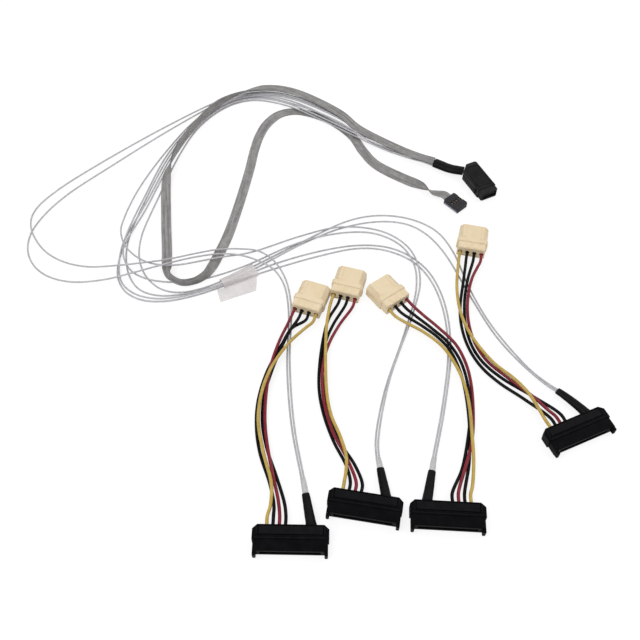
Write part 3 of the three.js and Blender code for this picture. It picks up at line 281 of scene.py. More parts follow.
POWER_ROUTES: dict[str, list[Point]] = {
    "power_wire_1_yellow": [
        (-2.8, 0.6, 5.1), (-4.9, -5, 4.7), (-9.1, -9.2, 4.8), (-18.6, -20, 5.7),
        (-27, -34, 7.7), (-32.9, -47, 8.3), (-37.1, -62.7, 7.3), (-38.2, -80.2, 5.3),
        (-34.2, -101.1, 4.3), (-28.7, -121.6, 4.9), (-28.9, -134.6, 4), (-30.5, -140.8, 3.6),
        (-30.6, -146.8, 4),
    ],
    "power_wire_1_red": [
        (-17.2, 5.8, 5.1), (-19.2, 0.2, 4.7), (-22.1, -7.6, 4.7), (-26.4, -19.2, 5.3),
        (-30.4, -33.1, 5.5), (-32.6, -45.1, 5.8), (-34.3, -62.9, 4.2), (-34.1, -80.6, 3.3),
        (-31.4, -99.9, 4.2), (-27.6, -117.3, 3), (-24.5, -130.8, 2.9), (-23.3, -140.9, 3.6),
        (-23.4, -146.9, 4),
    ],
    "power_wire_1_black_a": [
        (-7.6, 2.4, 5.1), (-9.6, -3.3, 4.7), (-18.9, -8.6, 2.7), (-25.3, -21.7, 3.1),
        (-34.6, -43.4, 2.6), (-39.3, -64.2, 2), (-39.6, -81.8, 1.6), (-36.7, -99.6, 1.4),
        (-29.7, -120.4, 1.1), (-26.9, -133.9, 2.5), (-26.9, -140.8, 3.6), (-27, -146.8, 4),
    ],
    "power_wire_1_black_b": [
        (-12.4, 4.1, 5.1), (-14.4, -1.6, 4.7), (-20.3, -14.5, 7.3), (-26.7, -29.5, 5.1),
        (-32.5, -46.5, 2.2), (-35.8, -61.9, 1.6), (-36, -79.4, 1.2), (-32.5, -96.8, 1.1),
        (-25.9, -115.9, 1.3), (-20.7, -133.2, 3.2), (-19.7, -140.9, 3.6), (-19.8, -146.9, 4),
    ],
    "power_wire_2_yellow": [
        (9.3, 17.8, 5.1), (7.6, 12.1, 4.7), (6.3, 6, 4.7), (4.4, -8.6, 5.2), (3.8, -23, 5.7),
        (3.6, -39.4, 6.2), (4.3, -59.6, 4.8), (6.8, -75.2, 4.9), (12.7, -91.9, 6),
        (15.9, -104.6, 5.2), (15.4, -113.9, 4.1), (14.4, -119.4, 3.6), (13.4, -125.3, 4),
    ],
    "power_wire_2_red": [
        (23.9, 13.6, 5.1), (22.3, 7.8, 4.7), (13.2, -5.5, 2.4), (6.2, -20.2, 2.3),
        (2.4, -35.8, 3.9), (1.4, -52, 4.5), (3, -68.2, 3.7), (8.2, -87.3, 3.5),
        (16.7, -105, 2.7), (21.5, -120.6, 3.6), (20.5, -126.5, 4),
    ],
    "power_wire_2_black_a": [
        (14.2, 16.4, 5.1), (12.5, 10.7, 4.7), (6.2, 0, 2.4), (3.1, -11.9, 2.8),
        (-0.1, -36.1, 3.3), (-0.6, -55.7, 2.3), (2.2, -73.1, 1.7), (8.3, -91.9, 1.3),
        (15.8, -108.1, 1.3), (18, -120, 3.6), (17, -125.9, 4),
    ],
    "power_wire_2_black_b": [
        (19.1, 15, 5.1), (17.4, 9.2, 4.7), (9.2, -4.6, 2.1), (4.2, -17.5, 1.2),
        (1.7, -33.1, 1.1), (2.2, -53.2, 1.2), (6.5, -76.8, 1.2), (12.7, -93.4, 1.1),
        (20.8, -107.5, 1.5), (25.1, -121.2, 3.6), (24.1, -127.1, 4),
    ],
    "power_wire_3_yellow": [
        (47.3, 4.8, 5.1), (50.9, -0.1, 4.7), (57.2, -4.7, 4.3), (69.4, -11.9, 3),
        (80.8, -23.7, 3.6), (88.8, -39.8, 3.9), (92.6, -57.3, 5.6), (93.5, -73, 6.5),
        (93, -89, 6.6), (92.3, -106.9, 5.2), (90.3, -121.9, 3.2), (88.5, -127.7, 3.6),
        (88.2, -133.7, 4),
    ],
    "power_wire_3_red": [
        (59.6, 13.7, 5.1), (63.2, 8.9, 4.7), (69.8, 1.5, 4.1), (79.7, -8.4, 3),
        (89.8, -21.3, 2.8), (95.1, -34, 1.5), (97.3, -49.6, 1.2), (96.2, -73.9, 1.7),
        (92.8, -93.7, 3.7), (87.1, -110.8, 3.5), (82.9, -121.8, 3.4), (81.3, -127.3, 3.6),
        (81, -133.3, 4),
    ],
    "power_wire_3_black_a": [
        (51.4, 7.8, 5.1), (55, 2.9, 4.7), (69.3, -7.6, 3.2), (78.4, -15.9, 2.9),
        (85.4, -25.9, 3.1), (90.2, -38.4, 2), (92.8, -53.8, 1.1), (93.1, -79.9, 1.2),
        (90.3, -105.8, 1.3), (84.9, -127.5, 3.6), (84.6, -133.5, 4),
    ],
    "power_wire_3_black_b": [
        (55.5, 10.8, 5.1), (59.1, 5.9, 4.7), (64.8, 0.5, 4.1), (75.5, -8.6, 2.2),
        (84.7, -19.7, 2.9), (91.8, -34.2, 2.6), (94.9, -51.9, 2.3), (94.2, -71.9, 3.7),
        (90.7, -91.5, 3.4), (85.5, -110.6, 1.2), (77.7, -127.1, 3.6), (77.4, -133.1, 4),
    ],
    "power_wire_4_yellow": [
        (100.3, 56.5, 5.1), (99, 50.6, 4.7), (97.9, 44.6, 4.3), (95.5, 26.5, 2.4),
        (95.3, 6.4, 4), (97.8, -7.6, 4.7), (103.6, -22.9, 5.4), (113.6, -38, 4.8),
        (123.9, -49.9, 6.5), (132, -60.9, 6.2), (137.9, -73.2, 4.5), (140.3, -78.6, 3.6),
        (142.7, -84.1, 4),
    ],
    "power_wire_4_red": [
        (115.2, 53.2, 5.1), (113.9, 47.3, 4.7), (110.9, 41.7, 4.3), (106.3, 32.2, 4),
        (101.7, 14.7, 4), (100.4, -3.4, 3), (103.1, -21, 2.5), (109.9, -34.8, 2.1),
        (121.5, -48.4, 3.5), (134.5, -61.2, 3.7), (143.8, -71.4, 2.7), (147, -75.7, 3.6),
        (149.3, -81.2, 4),
    ],
    "power_wire_4_black_a": [
        (105.3, 55.4, 5.1), (104, 49.5, 4.7), (102.9, 43.5, 4.3), (100.1, 29.6, 3.2),
        (96.1, 8.3, 1.2), (95.8, -7.8, 1.2), (98.7, -23.7, 1.3), (105.2, -38.1, 1.3),
        (115.4, -50.2, 1.3), (129.5, -61.9, 1.1), (143.7, -77.2, 3.6), (146, -82.7, 4),
    ],
    "power_wire_4_black_b": [
        (110.2, 54.3, 5.1), (108.9, 48.4, 4.7), (103.7, 32.8, 3.5), (99.6, 13.9, 1.9),
        (98.6, -6.3, 1.2), (101.2, -22.4, 1.1), (107, -34.9, 1.1), (117.6, -46.7, 1.2),
        (137, -61.3, 1.3), (150.3, -74.3, 3.6), (152.6, -79.8, 4),
    ],
}
# Each point of the ribbon has its roll in degrees, 0 lying flat.
RIBBON_ROUTE: list[tuple[float, float, float, float]] = [
    (89.3, 148.7, 4.6, 0), (79.3, 153, 4.4, 0), (62.8, 163.1, 3.8, 0), (30, 186.4, 5, 0),
    (16.7, 201, 6.8, 0), (-16.5, 225.7, 6.8, 0), (-33.6, 233.2, 6, 0), (-48.8, 234.7, 5.6, 8),
    (-66.8, 226.2, 7.2, 52), (-84.1, 212.8, 7.3, 90), (-99.8, 189.2, 7.2, 90),
    (-111.4, 163.8, 7.1, 90), (-115.5, 148.2, 7.1, 80), (-117.8, 137, 5.2, 35),
    (-118.1, 125.7, 2.7, 6), (-114.5, 91.3, 2, 0), (-110.4, 58.7, 1.5, 0),
    (-108.9, 45.4, 1.9, 8), (-104.7, 32.9, 5.9, 80), (-96.7, 27.9, 5.8, 90),
    (-87.7, 29.1, 5.8, 90), (-80.8, 34.1, 5.8, 75), (-76.5, 43.6, 3.8, 42),
    (-73, 55.5, 2.1, 26), (-68.6, 70.3, 1.4, 14), (-63.5, 93.9, 0.8, 3),
    (-55.1, 142.8, 0.6, 0), (-52.1, 166.4, 0.6, 0), (-48.6, 182.1, 1, 8),
    (-43, 195.4, 1.3, 14), (-33.1, 207.1, 1, 8), (-19.1, 210.8, 0.6, 0), (6.6, 200.5, 0.6, 0),
    (25.8, 181.1, 0.8, 4), (34.2, 163.1, 1.3, 14), (43.9, 147.6, 1.7, 20),
    (67.8, 129.2, 2.8, 40), (78.7, 122.1, 3.9, 90), (86.5, 116.9, 2.4, 160),
    (94.1, 114.7, 2.4, 180), (97.2, 111.2, 2.6, 180),
]


class Gloss(Enum):
    """How a surface shines: roughness and its spread."""

    MATT = (0.62, 0.12)
    SATIN = (0.42, 0.12)
    GLOSSY = (0.27, 0.08)
    METAL = (0.24, 0.1)


def linear(code: str) -> tuple[float, float, float, float]:
    """Linear colour of an sRGB code.

    Args:
        code: Six hexadecimal digits.

    Returns:
        Red, green, blue and 1, each ((c + 0.055) / 1.055) ** 2.4 above the toe.
    """
    parts = [int(code[i : i + 2], 16) / 255.0 for i in (0, 2, 4)]
    red, green, blue = (
        c / 12.92 if c <= 0.04045 else ((c + 0.055) / 1.055) ** 2.4 for c in parts
    )
    return (red, green, blue, 1.0)


def map_range(tree: bpy.types.NodeTree, value: bpy.types.NodeSocket,
              start: Sequence[float], end: Sequence[float]) -> bpy.types.NodeSocket:
    """A node that maps the range start linearly to the range end.

    Args:
        tree: The node tree.
        value: Socket of the value.
        start: Lowest and highest value.
        end: What they become.

    Returns:
        Socket of the mapped value.
    """
    made = tree.nodes.new("ShaderNodeMapRange")
    made.inputs["From Min"].default_value, made.inputs["From Max"].default_value = start
    made.inputs["To Min"].default_value, made.inputs["To Max"].default_value = end
    tree.links.new(value, made.inputs["Value"])
    return made.outputs["Result"]


def math_node(tree: bpy.types.NodeTree, operation: str, *values: bpy.types.NodeSocket | float
              ) -> bpy.types.NodeSocket:
    """A math node.

    Args:
        tree: The node tree.
        operation: Name of the operation.
        values: One or two sockets or numbers.

    Returns:
        Socket of the result.
    """
    made = tree.nodes.new("ShaderNodeMath")
    made.operation = operation
    for place, value in enumerate(values):
        if isinstance(value, float):
            made.inputs[place].default_value = value
        else:
            tree.links.new(value, made.inputs[place])
    return made.outputs[0]


def noise(tree: bpy.types.NodeTree, place: bpy.types.NodeSocket, scale: float, detail: float
          ) -> bpy.types.NodeSocket:
    """A noise texture.

    Args:
        tree: The node tree.
        place: Socket of the coordinates.
        scale: Scale of the noise.
        detail: Its detail.

    Returns:
        Socket of the noise.
    """
    made = tree.nodes.new("ShaderNodeTexNoise")
    made.inputs["Scale"].default_value = scale
    made.inputs["Detail"].default_value = detail
    tree.links.new(place, made.inputs["Vector"])
    return made.outputs["Fac"]


@dataclass(frozen=True)
class Finish:
    """A procedural surface.

    Args:
        name: Name of the material.
        colour: Main colour, sRGB.
        mottle: Second colour, which cloudy noise mixes in.
        gloss: Roughness and its spread.
        mottle_scale: Size of the clouds, as noise scale per metre.
        grain_scale: Size of the fine bumps, as noise scale per metre.
        grain_depth: Height of the fine bumps in metres.
        coat: Strength of a clear coat.
        metallic: 1 for metal.
        transmission: Share of light that passes through.
        alpha: Cover of the surface.
        specular: Strength of the surface's mirror-like share.
        groove_shade_and_streaks: Whether painted shade darkens the colour in the grooves between the
            conductors, with random long streaks.
    """

    name: str
    colour: str
    mottle: str
    gloss: Gloss = Gloss.SATIN
    mottle_scale: float = 160.0
    grain_scale: float = 2200.0
    grain_depth: float = 0.00004
    coat: float = 0.0
    metallic: float = 0.0
    transmission: float = 0.0
    alpha: float = 1.0
    specular: float = 0.5
    groove_shade_and_streaks: bool = False

    def material(self) -> bpy.types.Material:
        """The material, made at its first use.

        Returns:
            A material whose colour is mix(colour, mottle, noise), whose roughness is
            base + spread * (noise - 0.5), and whose bumps come from finer noise.
        """
        known = bpy.data.materials.get(self.name)
        if known is not None:
            return known
        made = bpy.data.materials.new(self.name)
        made.use_nodes = True
        tree = made.node_tree
        nodes, links = tree.nodes, tree.links
        shader = nodes["Principled BSDF"]
        coords = nodes.new("ShaderNodeTexCoord")

        clouds = noise(tree, coords.outputs["Object"], self.mottle_scale, 4.0)
        ramp = nodes.new("ShaderNodeValToRGB")
        ramp.color_ramp.elements[0].position = 0.35
        ramp.color_ramp.elements[0].color = linear(self.colour)
        ramp.color_ramp.elements[1].position = 0.68
        ramp.color_ramp.elements[1].color = linear(self.mottle)
        links.new(clouds, ramp.inputs["Fac"])
        colour = ramp.outputs["Color"]
        if self.groove_shade_and_streaks:
            colour = self._painted_groove_shade_with_streaks(made, colour)
        links.new(colour, shader.inputs["Base Color"])

        middle, spread = self.gloss.value
        span = (middle - spread / 2.0, middle + spread / 2.0)
        links.new(map_range(tree, clouds, (0.0, 1.0), span), shader.inputs["Roughness"])

        grain = noise(tree, coords.outputs["Object"], self.grain_scale, 3.0)
        bump = nodes.new("ShaderNodeBump")
        bump.inputs["Strength"].default_value = 0.5
        bump.inputs["Distance"].default_value = self.grain_depth
        links.new(grain, bump.inputs["Height"])
        links.new(bump.outputs["Normal"], shader.inputs["Normal"])

        shader.inputs["Metallic"].default_value = self.metallic
        shader.inputs["Coat Weight"].default_value = self.coat
        shader.inputs["Transmission Weight"].default_value = self.transmission
        shader.inputs["Alpha"].default_value = self.alpha
        shader.inputs["Specular IOR Level"].default_value = self.specular
        made.diffuse_color = linear(self.colour)
        return made

    def _painted_groove_shade_with_streaks(self, made: bpy.types.Material, plain: bpy.types.NodeSocket) -> bpy.types.NodeSocket:
        """Paints shade into the grooves, darkening the colour where |sin(pi conductors u)| is small, and
        darkens it in long streaks.

        Args:
            made: The material.
            plain: The colour without grooves.

        Returns:
            Socket of the darkened colour.
        """
        tree = made.node_tree
        nodes, links = tree.nodes, tree.links
        across = nodes.new("ShaderNodeAttribute")
        across.attribute_name = "across"
        along = nodes.new("ShaderNodeAttribute")
        along.attribute_name = "along"
        turn = math_node(tree, "MULTIPLY", across.outputs["Fac"], math.pi * CONDUCTORS)
        size = math_node(tree, "ABSOLUTE", math_node(tree, "SINE", turn))
        # Painted shade: the grooves between the conductors drop to 0.38 of the colour.
        shade = map_range(tree, size, (0.0, 0.75), (0.38, 1.0))
        strip = nodes.new("ShaderNodeCombineXYZ")
        links.new(across.outputs["Fac"], strip.inputs["X"])
        links.new(along.outputs["Fac"], strip.inputs["Y"])
        streaks = noise(tree, strip.outputs["Vector"], 5.0, 2.0)
        band = map_range(tree, streaks, (0.3, 0.7), (0.62, 1.22))
        darker = nodes.new("ShaderNodeVectorMath")
        darker.operation = "SCALE"
        links.new(plain, darker.inputs[0])
        links.new(math_node(tree, "MULTIPLY", shade, band), darker.inputs["Scale"])
        return darker.outputs[0]


PLUG_BLACK = Finish("charcoal_body", "1c1c1d", "262628", Gloss.SATIN, 260.0, 3200.0, specular=0.14)
LID_BLACK = Finish("lid_black", "151516", "1d1d1f", Gloss.SATIN, 260.0, 3200.0, specular=0.1)
HOUSING_BLACK = Finish("housing_black", "060608", "0d0d10", Gloss.SATIN, 220.0, 2600.0, specular=0.05)
COVER_BLACK = Finish("cover_black", "0a0a0c", "121215", Gloss.SATIN, 220.0, 2600.0, specular=0.09)
SHRINK_BLACK = Finish("shrink_black", "0c0b0c", "161314", Gloss.SATIN, 420.0, 1400.0, 0.00006, specular=0.12)
SIDEBAND_GREY = Finish("sideband_grey", "28282c", "333338", Gloss.SATIN, 300.0, 3000.0, specular=0.2)
# Painted highlight: pale blue-grey strips where light catches the sideband connector's lower edges.
SIDEBAND_HIGHLIGHT = Finish("sideband_painted_highlight", "8f8fa0", "a4a4b2", Gloss.SATIN, 300.0, 3000.0)
IVORY = Finish("ivory_plastic", "efdcba", "ebd5ae", Gloss.SATIN, 130.0, 2400.0, coat=0.1)
WIRE_YELLOW = Finish("wire_mustard", "cdb05a", "bd9f48", Gloss.GLOSSY, 190.0, 1500.0, 0.00001, specular=0.4)
WIRE_RED = Finish("wire_crimson", "8e2434", "7a1c2b", Gloss.GLOSSY, 190.0, 1500.0, 0.00001, specular=0.3)
WIRE_BLACK = Finish("wire_black", "0a0a0b", "131214", Gloss.SATIN, 190.0, 1500.0, 0.00001, specular=0.12)
DATA_CLEAR = Finish("wire_silver", "c6c5c9", "b4b3b8", Gloss.GLOSSY, 380.0, 1800.0, 0.00001, coat=0.4)
# Grey ribbon with painted shade in the grooves between its conductors.
RIBBON_GREY = Finish("ribbon_grey", "a9a7a5", "979593", Gloss.SATIN, 240.0, 1600.0, groove_shade_and_streaks=True)
LABEL_FILM = Finish("label_film", "f0ebea", "e4dedd", Gloss.GLOSSY, 120.0, 700.0, alpha=0.55)
WRAP_FILM = Finish("wrap_film", "e2e0df", "d2d0cf", Gloss.GLOSSY, 300.0, 900.0, alpha=0.7)
GOLD = Finish("contact_gold", "c9a24a", "b08a3a", Gloss.METAL, 900.0, 3000.0, metallic=1.0)
TIN = Finish("pin_tin", "b9b9bb", "9c9c9f", Gloss.METAL, 900.0, 3000.0, metallic=1.0)
CRIMP_BROWN = Finish("crimp_brown", "8c7a6c", "6f6056", Gloss.METAL, 900.0, 3000.0, metallic=1.0)
CARD_DARK = Finish("card_dark", "141a17", "1c2420", Gloss.SATIN, 500.0, 2500.0, specular=0.2)
# Flat dark rings at the power wires' entries: painted shade of the holes.
PAINTED_HOLE_SHADE = Finish("painted_hole_shade", "08080a", "0e0e10", Gloss.MATT, 300.0, 2000.0, specular=0.1)


@dataclass
class Shape:
    """Vertices and faces that grow piece by piece, in millimetres."""

    vertices: list[np.ndarray]
    faces: list[tuple[int, ...]]

    @classmethod
    def empty(cls) -> "Shape":
        """A shape with nothing in it yet."""
        return cls([], [])

    def count(self) -> int:
        """Number of vertices so far."""
        return sum(len(block) for block in self.vertices)

    def box(self, low: Sequence[float], high: Sequence[float]) -> "Shape":
        """Adds a block between two corners.

        Args:
            low: Lowest corner.
            high: Highest corner.

        Returns:
            The shape itself.
        """
        x0, y0, z0 = low
        x1, y1, z1 = high
        first = self.count()
        corners = [
            (x0, y0, z0), (x1, y0, z0), (x1, y1, z0), (x0, y1, z0),
            (x0, y0, z1), (x1, y0, z1), (x1, y1, z1), (x0, y1, z1),
        ]
        self.vertices.append(np.array(corners, float))
        sides = [(0, 3, 2, 1), (4, 5, 6, 7), (0, 1, 5, 4), (1, 2, 6, 5), (2, 3, 7, 6), (3, 0, 4, 7)]
        self.faces += [tuple(first + i for i in side) for side in sides]
        return self

    def rings(self, rings: np.ndarray, closed: bool = True) -> "Shape":
        """Adds a skin over rings, vertex = ring[r][i], with a cap at each end.

        Args:
            rings: rows x sides x 3 array.
            closed: Whether the ends are capped.

        Returns:
            The shape itself.
        """
        rows, sides, _ = rings.shape
        first = self.count()
        self.vertices.append(rings.reshape(-1, 3))
        for r in range(rows - 1):
            for i in range(sides):
                a = first + r * sides + i
                b = first + r * sides + (i + 1) % sides
                self.faces.append((a, b, b + sides, a + sides))
        if closed:
            last = first + (rows - 1) * sides
            self.faces.append(tuple(first + i for i in reversed(range(sides))))
            self.faces.append(tuple(last + i for i in range(sides)))
        return self

    def turned(self, axis_from: Sequence[float], profile: Iterable[tuple[float, float]],
               sides: int = 20) -> "Shape":
        """Adds a solid turned about a line along y, radius r(y) from the profile.

        Args:
            axis_from: Point where y = 0 of the profile lies.
            profile: (y, radius) pairs.
            sides: Corners of each ring.

        Returns:
            The shape itself.
        """
        angles = np.linspace(0.0, 2.0 * math.pi, sides, endpoint=False)
        rings = []
        for y, radius in profile:
            x = axis_from[0] + radius * np.sin(angles)
            z = axis_from[2] + radius * np.cos(angles)
            rings.append(np.column_stack([x, np.full(sides, axis_from[1] + y), z]))
        return self.rings(np.array(rings))

    def piece(self, name: str, finish: Finish, slot: str, place: Place = TABLE,
              soften: float = 0.0, smooth: bool = False) -> bpy.types.Object:
        """Makes the object and lets it ride on the cable's one body.

        Args:
            name: Name of the piece.
            finish: Its surface.
            slot: The record's material slot it stands for; not used.
            place: Where its frame lies on the table.
            soften: Width of the rounded edges in millimetres.
            smooth: Whether its faces are shaded smooth.

        Returns:
            The object.
        """
        points = place.on_table(np.vstack(self.vertices))
        faces = self.faces
        if place.flipped:
            faces = [tuple(reversed(face)) for face in faces]
        mesh = bpy.data.meshes.new(name)
        mesh.from_pydata(points.tolist(), [], faces)
        mesh.update()
        mesh.polygons.foreach_set("use_smooth", [smooth] * len(mesh.polygons))
        made = bpy.data.objects.new(name, mesh)
        bpy.context.scene.collection.objects.link(made)
        mesh.materials.append(finish.material())
        if soften > 0.0:
            round_edges(made, soften)
        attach(made, "root")
        LOG.info("piece %s: %d vertices, %s", name, len(points), finish.name)
        return made


def round_edges(made: bpy.types.Object, width: float) -> None:
    """Rounds the sharp edges of an object with modifiers.

    Args:
        made: The object.
        width: Width of the rounding in millimetres.
    """
    weld = made.modifiers.new("weld", "WELD")
    weld.merge_threshold = 0.000002
    bevel = made.modifiers.new("soft_edges", "BEVEL")
    bevel.width = width * MM
    bevel.segments = 2
    bevel.limit_method = "ANGLE"
    bevel.angle_limit = math.radians(32.0)
    bevel.harden_normals = True


def smooth_route(points: Sequence[Sequence[float]], samples: int) -> np.ndarray:
    """Centripetal Catmull-Rom curve through the points.

    Each span is the cubic p(t) = h00 p1 + h10 m1 + h01 p2 + h11 m2. Its tangents come
    from the square roots of the distances between neighbouring points.

    Args:
        points: Points of any dimension, three or more of them.
        samples: Steps in each span.

    Returns:
        Array of the sampled points.
    """
    given = np.array(points, float)
    padded = np.vstack([2 * given[0] - given[1], given, 2 * given[-1] - given[-2]])
    gaps = np.sqrt(np.linalg.norm(np.diff(padded[:, :3], axis=0), axis=1))
    rows = []
    for i in range(len(given) - 1):
        p0, p1, p2, p3 = padded[i : i + 4]
        d0, d1, d2 = gaps[i : i + 3]
        m1 = ((p1 - p0) / d0 - (p2 - p0) / (d0 + d1) + (p2 - p1) / d1) * d1
        m2 = ((p2 - p1) / d1 - (p3 - p1) / (d1 + d2) + (p3 - p2) / d2) * d1
        for t in np.arange(samples) / samples:
            h00 = 2 * t**3 - 3 * t**2 + 1
            h10 = t**3 - 2 * t**2 + t
            h01 = 3 * t**2 - 2 * t**3
            h11 = t**3 - t**2
            rows.append(h00 * p1 + h10 * m1 + h01 * p2 + h11 * m2)
    rows.append(given[-1])
    return np.array(rows)


def tucked(path: np.ndarray, depth: float) -> np.ndarray:
    """The path with both ends carried on a little way, into what they enter.

    Args:
        path: n x 3 array in millimetres.
        depth: How far each end goes on.

    Returns:
        The longer path.
    """
    first = path[0] - path[1]
    last = path[-1] - path[-2]
    start = path[0] + first / np.linalg.norm(first) * depth
    stop = path[-1] + last / np.linalg.norm(last) * depth
    return np.vstack([start, path, stop])


def length_of(path: np.ndarray) -> float:
    """Length of a path, the sum of its steps."""
    return float(np.linalg.norm(np.diff(path, axis=0), axis=1).sum())


def frames_along(path: np.ndarray, rolls: np.ndarray) -> tuple[np.ndarray, np.ndarray]:
    """Directions across and through a strip that rolls about its route.

    across = cos(roll) level + sin(roll) upright and through = tangent x across, where
    level is horizontal and square to the route.

    Args:
        path: n x 3 array.
        rolls: n angles in radians.

    Returns:
        Two n x 3 arrays of unit vectors.
    """
    tangent = np.gradient(path, axis=0)
    tangent /= np.linalg.norm(tangent, axis=1)[:, None]
    level = np.column_stack([-tangent[:, 1], tangent[:, 0], np.zeros(len(path))])
    level /= np.linalg.norm(level, axis=1)[:, None]
    upright = np.cross(tangent, level)
    across = level * np.cos(rolls)[:, None] + upright * np.sin(rolls)[:, None]
    return across, np.cross(tangent, across)


def oval_rings(path: np.ndarray, headings: np.ndarray, halves: np.ndarray,
               sides: int = 28, ripple: float = 0.0, seed: int = 0) -> np.ndarray:
    """Upright oval rings along a path.

    vertex = centre + across a cos(u) (1 + r) + z b sin(u) (1 + r), where r is a small
    ripple of sines that makes shrunk tube look uneven.

    Args:
        path: n x 3 centres.
        headings: n x 2 horizontal directions.
        halves: n x 2 half widths a and half heights b.
        sides: Corners of each ring.
        ripple: Size of r.
        seed: Starting phase of the ripple.

    Returns:
        n x sides x 3 array.
    """
    angle = np.linspace(0.0, 2.0 * math.pi, sides, endpoint=False)
    unit = headings / np.linalg.norm(headings, axis=1)[:, None]
    across = np.column_stack([-unit[:, 1], unit[:, 0], np.zeros(len(path))])
    along = np.linspace(0.0, 1.0, len(path))[:, None]
    uneven = ripple * (
        np.sin(3.0 * angle + seed + 2.0 * along)
        + 0.6 * np.sin(5.0 * angle - 1.7 * seed + 9.0 * along)
        + 0.5 * np.sin(23.0 * along + seed)
    )
    side = halves[:, :1] * np.cos(angle) * (1.0 + uneven)
    rise = halves[:, 1:] * np.sin(angle) * (1.0 + uneven)
    rings = path[:, None, :] + across[:, None, :] * side[:, :, None]
    rings[:, :, 2] += rise
    return rings


@dataclass
class CameraRig:
    """The camera at the photograph's angle."""

    elevation: float = CAMERA_ELEVATION
    distance: float = CAMERA_DISTANCE

    def build(self) -> bpy.types.Object:
        """Makes the camera, looking along +y and down at the measured point."""
        data = bpy.data.cameras.new("camera")
        data.lens = CAMERA_LENS
        data.sensor_width = CAMERA_SENSOR
        data.clip_start = 0.01
        made = bpy.data.objects.new("camera", data)
        target = SHIFT * MM
        back = np.array([0.0, -math.cos(self.elevation), math.sin(self.elevation)])
        made.location = tuple(target + back * self.distance)
        made.rotation_euler = (math.pi / 2.0 - self.elevation, 0.0, 0.0)
        bpy.context.scene.collection.objects.link(made)
        bpy.context.scene.camera = made
        return made


@dataclass
class Studio:
    """Pale floor, soft lamps and an even world."""

    floor_half: float = 3.0
    floor_drop: float = 0.0002

    def build(self) -> None:
        """Makes the floor, the lamps and the world."""
        self._floor()
        self._lamp("key", (-0.45, -0.35, 0.95), 0.9, 5.2)
        self._lamp("fill", (0.75, 0.1, 0.8), 0.9, 2.6)
        self._lamp("back", (0.0, 0.9, 0.75), 1.1, 2.4)
        self._world()
        bpy.context.scene.view_settings.view_transform = "Standard"

    def _floor(self) -> None:
        """A square of floor a hair below the cable."""
        half = self.floor_half
        mesh = bpy.data.meshes.new("floor")
        z = -self.floor_drop
        corners = [(-half, -half, z), (half, -half, z), (half, half, z), (-half, half, z)]
        mesh.from_pydata(corners, [], [(0, 1, 2, 3)])
        floor = bpy.data.objects.new("floor", mesh)
        bpy.context.scene.collection.objects.link(floor)
        mesh.materials.append(self._floor_material())

    def _floor_material(self) -> bpy.types.Material:
        """Paper that keeps the shadows near the cable and fades to pure white far away."""
        made = bpy.data.materials.new("floor_white")
        made.use_nodes = True
        tree = made.node_tree
        nodes, links = tree.nodes, tree.links
        nodes.clear()
        out = nodes.new("ShaderNodeOutputMaterial")
        paper = nodes.new("ShaderNodeBsdfDiffuse")
        paper.inputs["Color"].default_value = (0.93, 0.93, 0.93, 1.0)
        white = nodes.new("ShaderNodeEmission")
        white.inputs["Color"].default_value = (1.0, 1.0, 1.0, 1.0)
        white.inputs["Strength"].default_value = 1.12
        path = nodes.new("ShaderNodeLightPath")
        seen = math_node(
            tree, "MAXIMUM", path.outputs["Is Camera Ray"], path.outputs["Is Transmission Ray"]
        )
        coords = nodes.new("ShaderNodeTexCoord")
        reach = nodes.new("ShaderNodeVectorMath")
        reach.operation = "LENGTH"
        links.new(coords.outputs["Object"], reach.inputs[0])
        fade = map_range(tree, reach.outputs["Value"], (0.4, 1.0), (0.72, 1.0))
        share = math_node(tree, "MULTIPLY", seen, fade)
        mixed = nodes.new("ShaderNodeMixShader")
        links.new(share, mixed.inputs[0])
        links.new(paper.outputs[0], mixed.inputs[1])
        links.new(white.outputs[0], mixed.inputs[2])
        links.new(mixed.outputs[0], out.inputs["Surface"])
        return made

    def _lamp(self, name: str, where: Point, size: float, power: float) -> None:
        """A round soft lamp that faces the middle of the picture.

        Args:
            name: Name of the lamp.
            where: Its place from the middle, in metres.
            size: Its diameter in metres.
            power: Its power in watts.
        """
        data = bpy.data.lights.new(name, "AREA")
        data.shape = "DISK"
        data.size = size
        data.energy = power
        made = bpy.data.objects.new(name, data)
        target = SHIFT * MM
        made.location = tuple(np.array(where) + target)
        away = np.array(where)
        tilt = math.atan2(math.hypot(away[0], away[1]), away[2])
        made.rotation_euler = (tilt, 0.0, math.atan2(away[1], away[0]) + math.pi / 2.0)
        bpy.context.scene.collection.objects.link(made)

    def _world(self) -> None:
        """An even white sky, dimmer for the light than for the eye."""
        world = bpy.data.worlds.new("even_white")
        bpy.context.scene.world = world
        world.use_nodes = True
        nodes, links = world.node_tree.nodes, world.node_tree.links
        background = nodes["Background"]
        background.inputs["Color"].default_value = (1.0, 1.0, 1.0, 1.0)
        path = nodes.new("ShaderNodeLightPath")
        level = map_range(world.node_tree, path.outputs["Is Camera Ray"], (0.0, 1.0), (0.4, 1.0))
        links.new(level, background.inputs["Strength"])


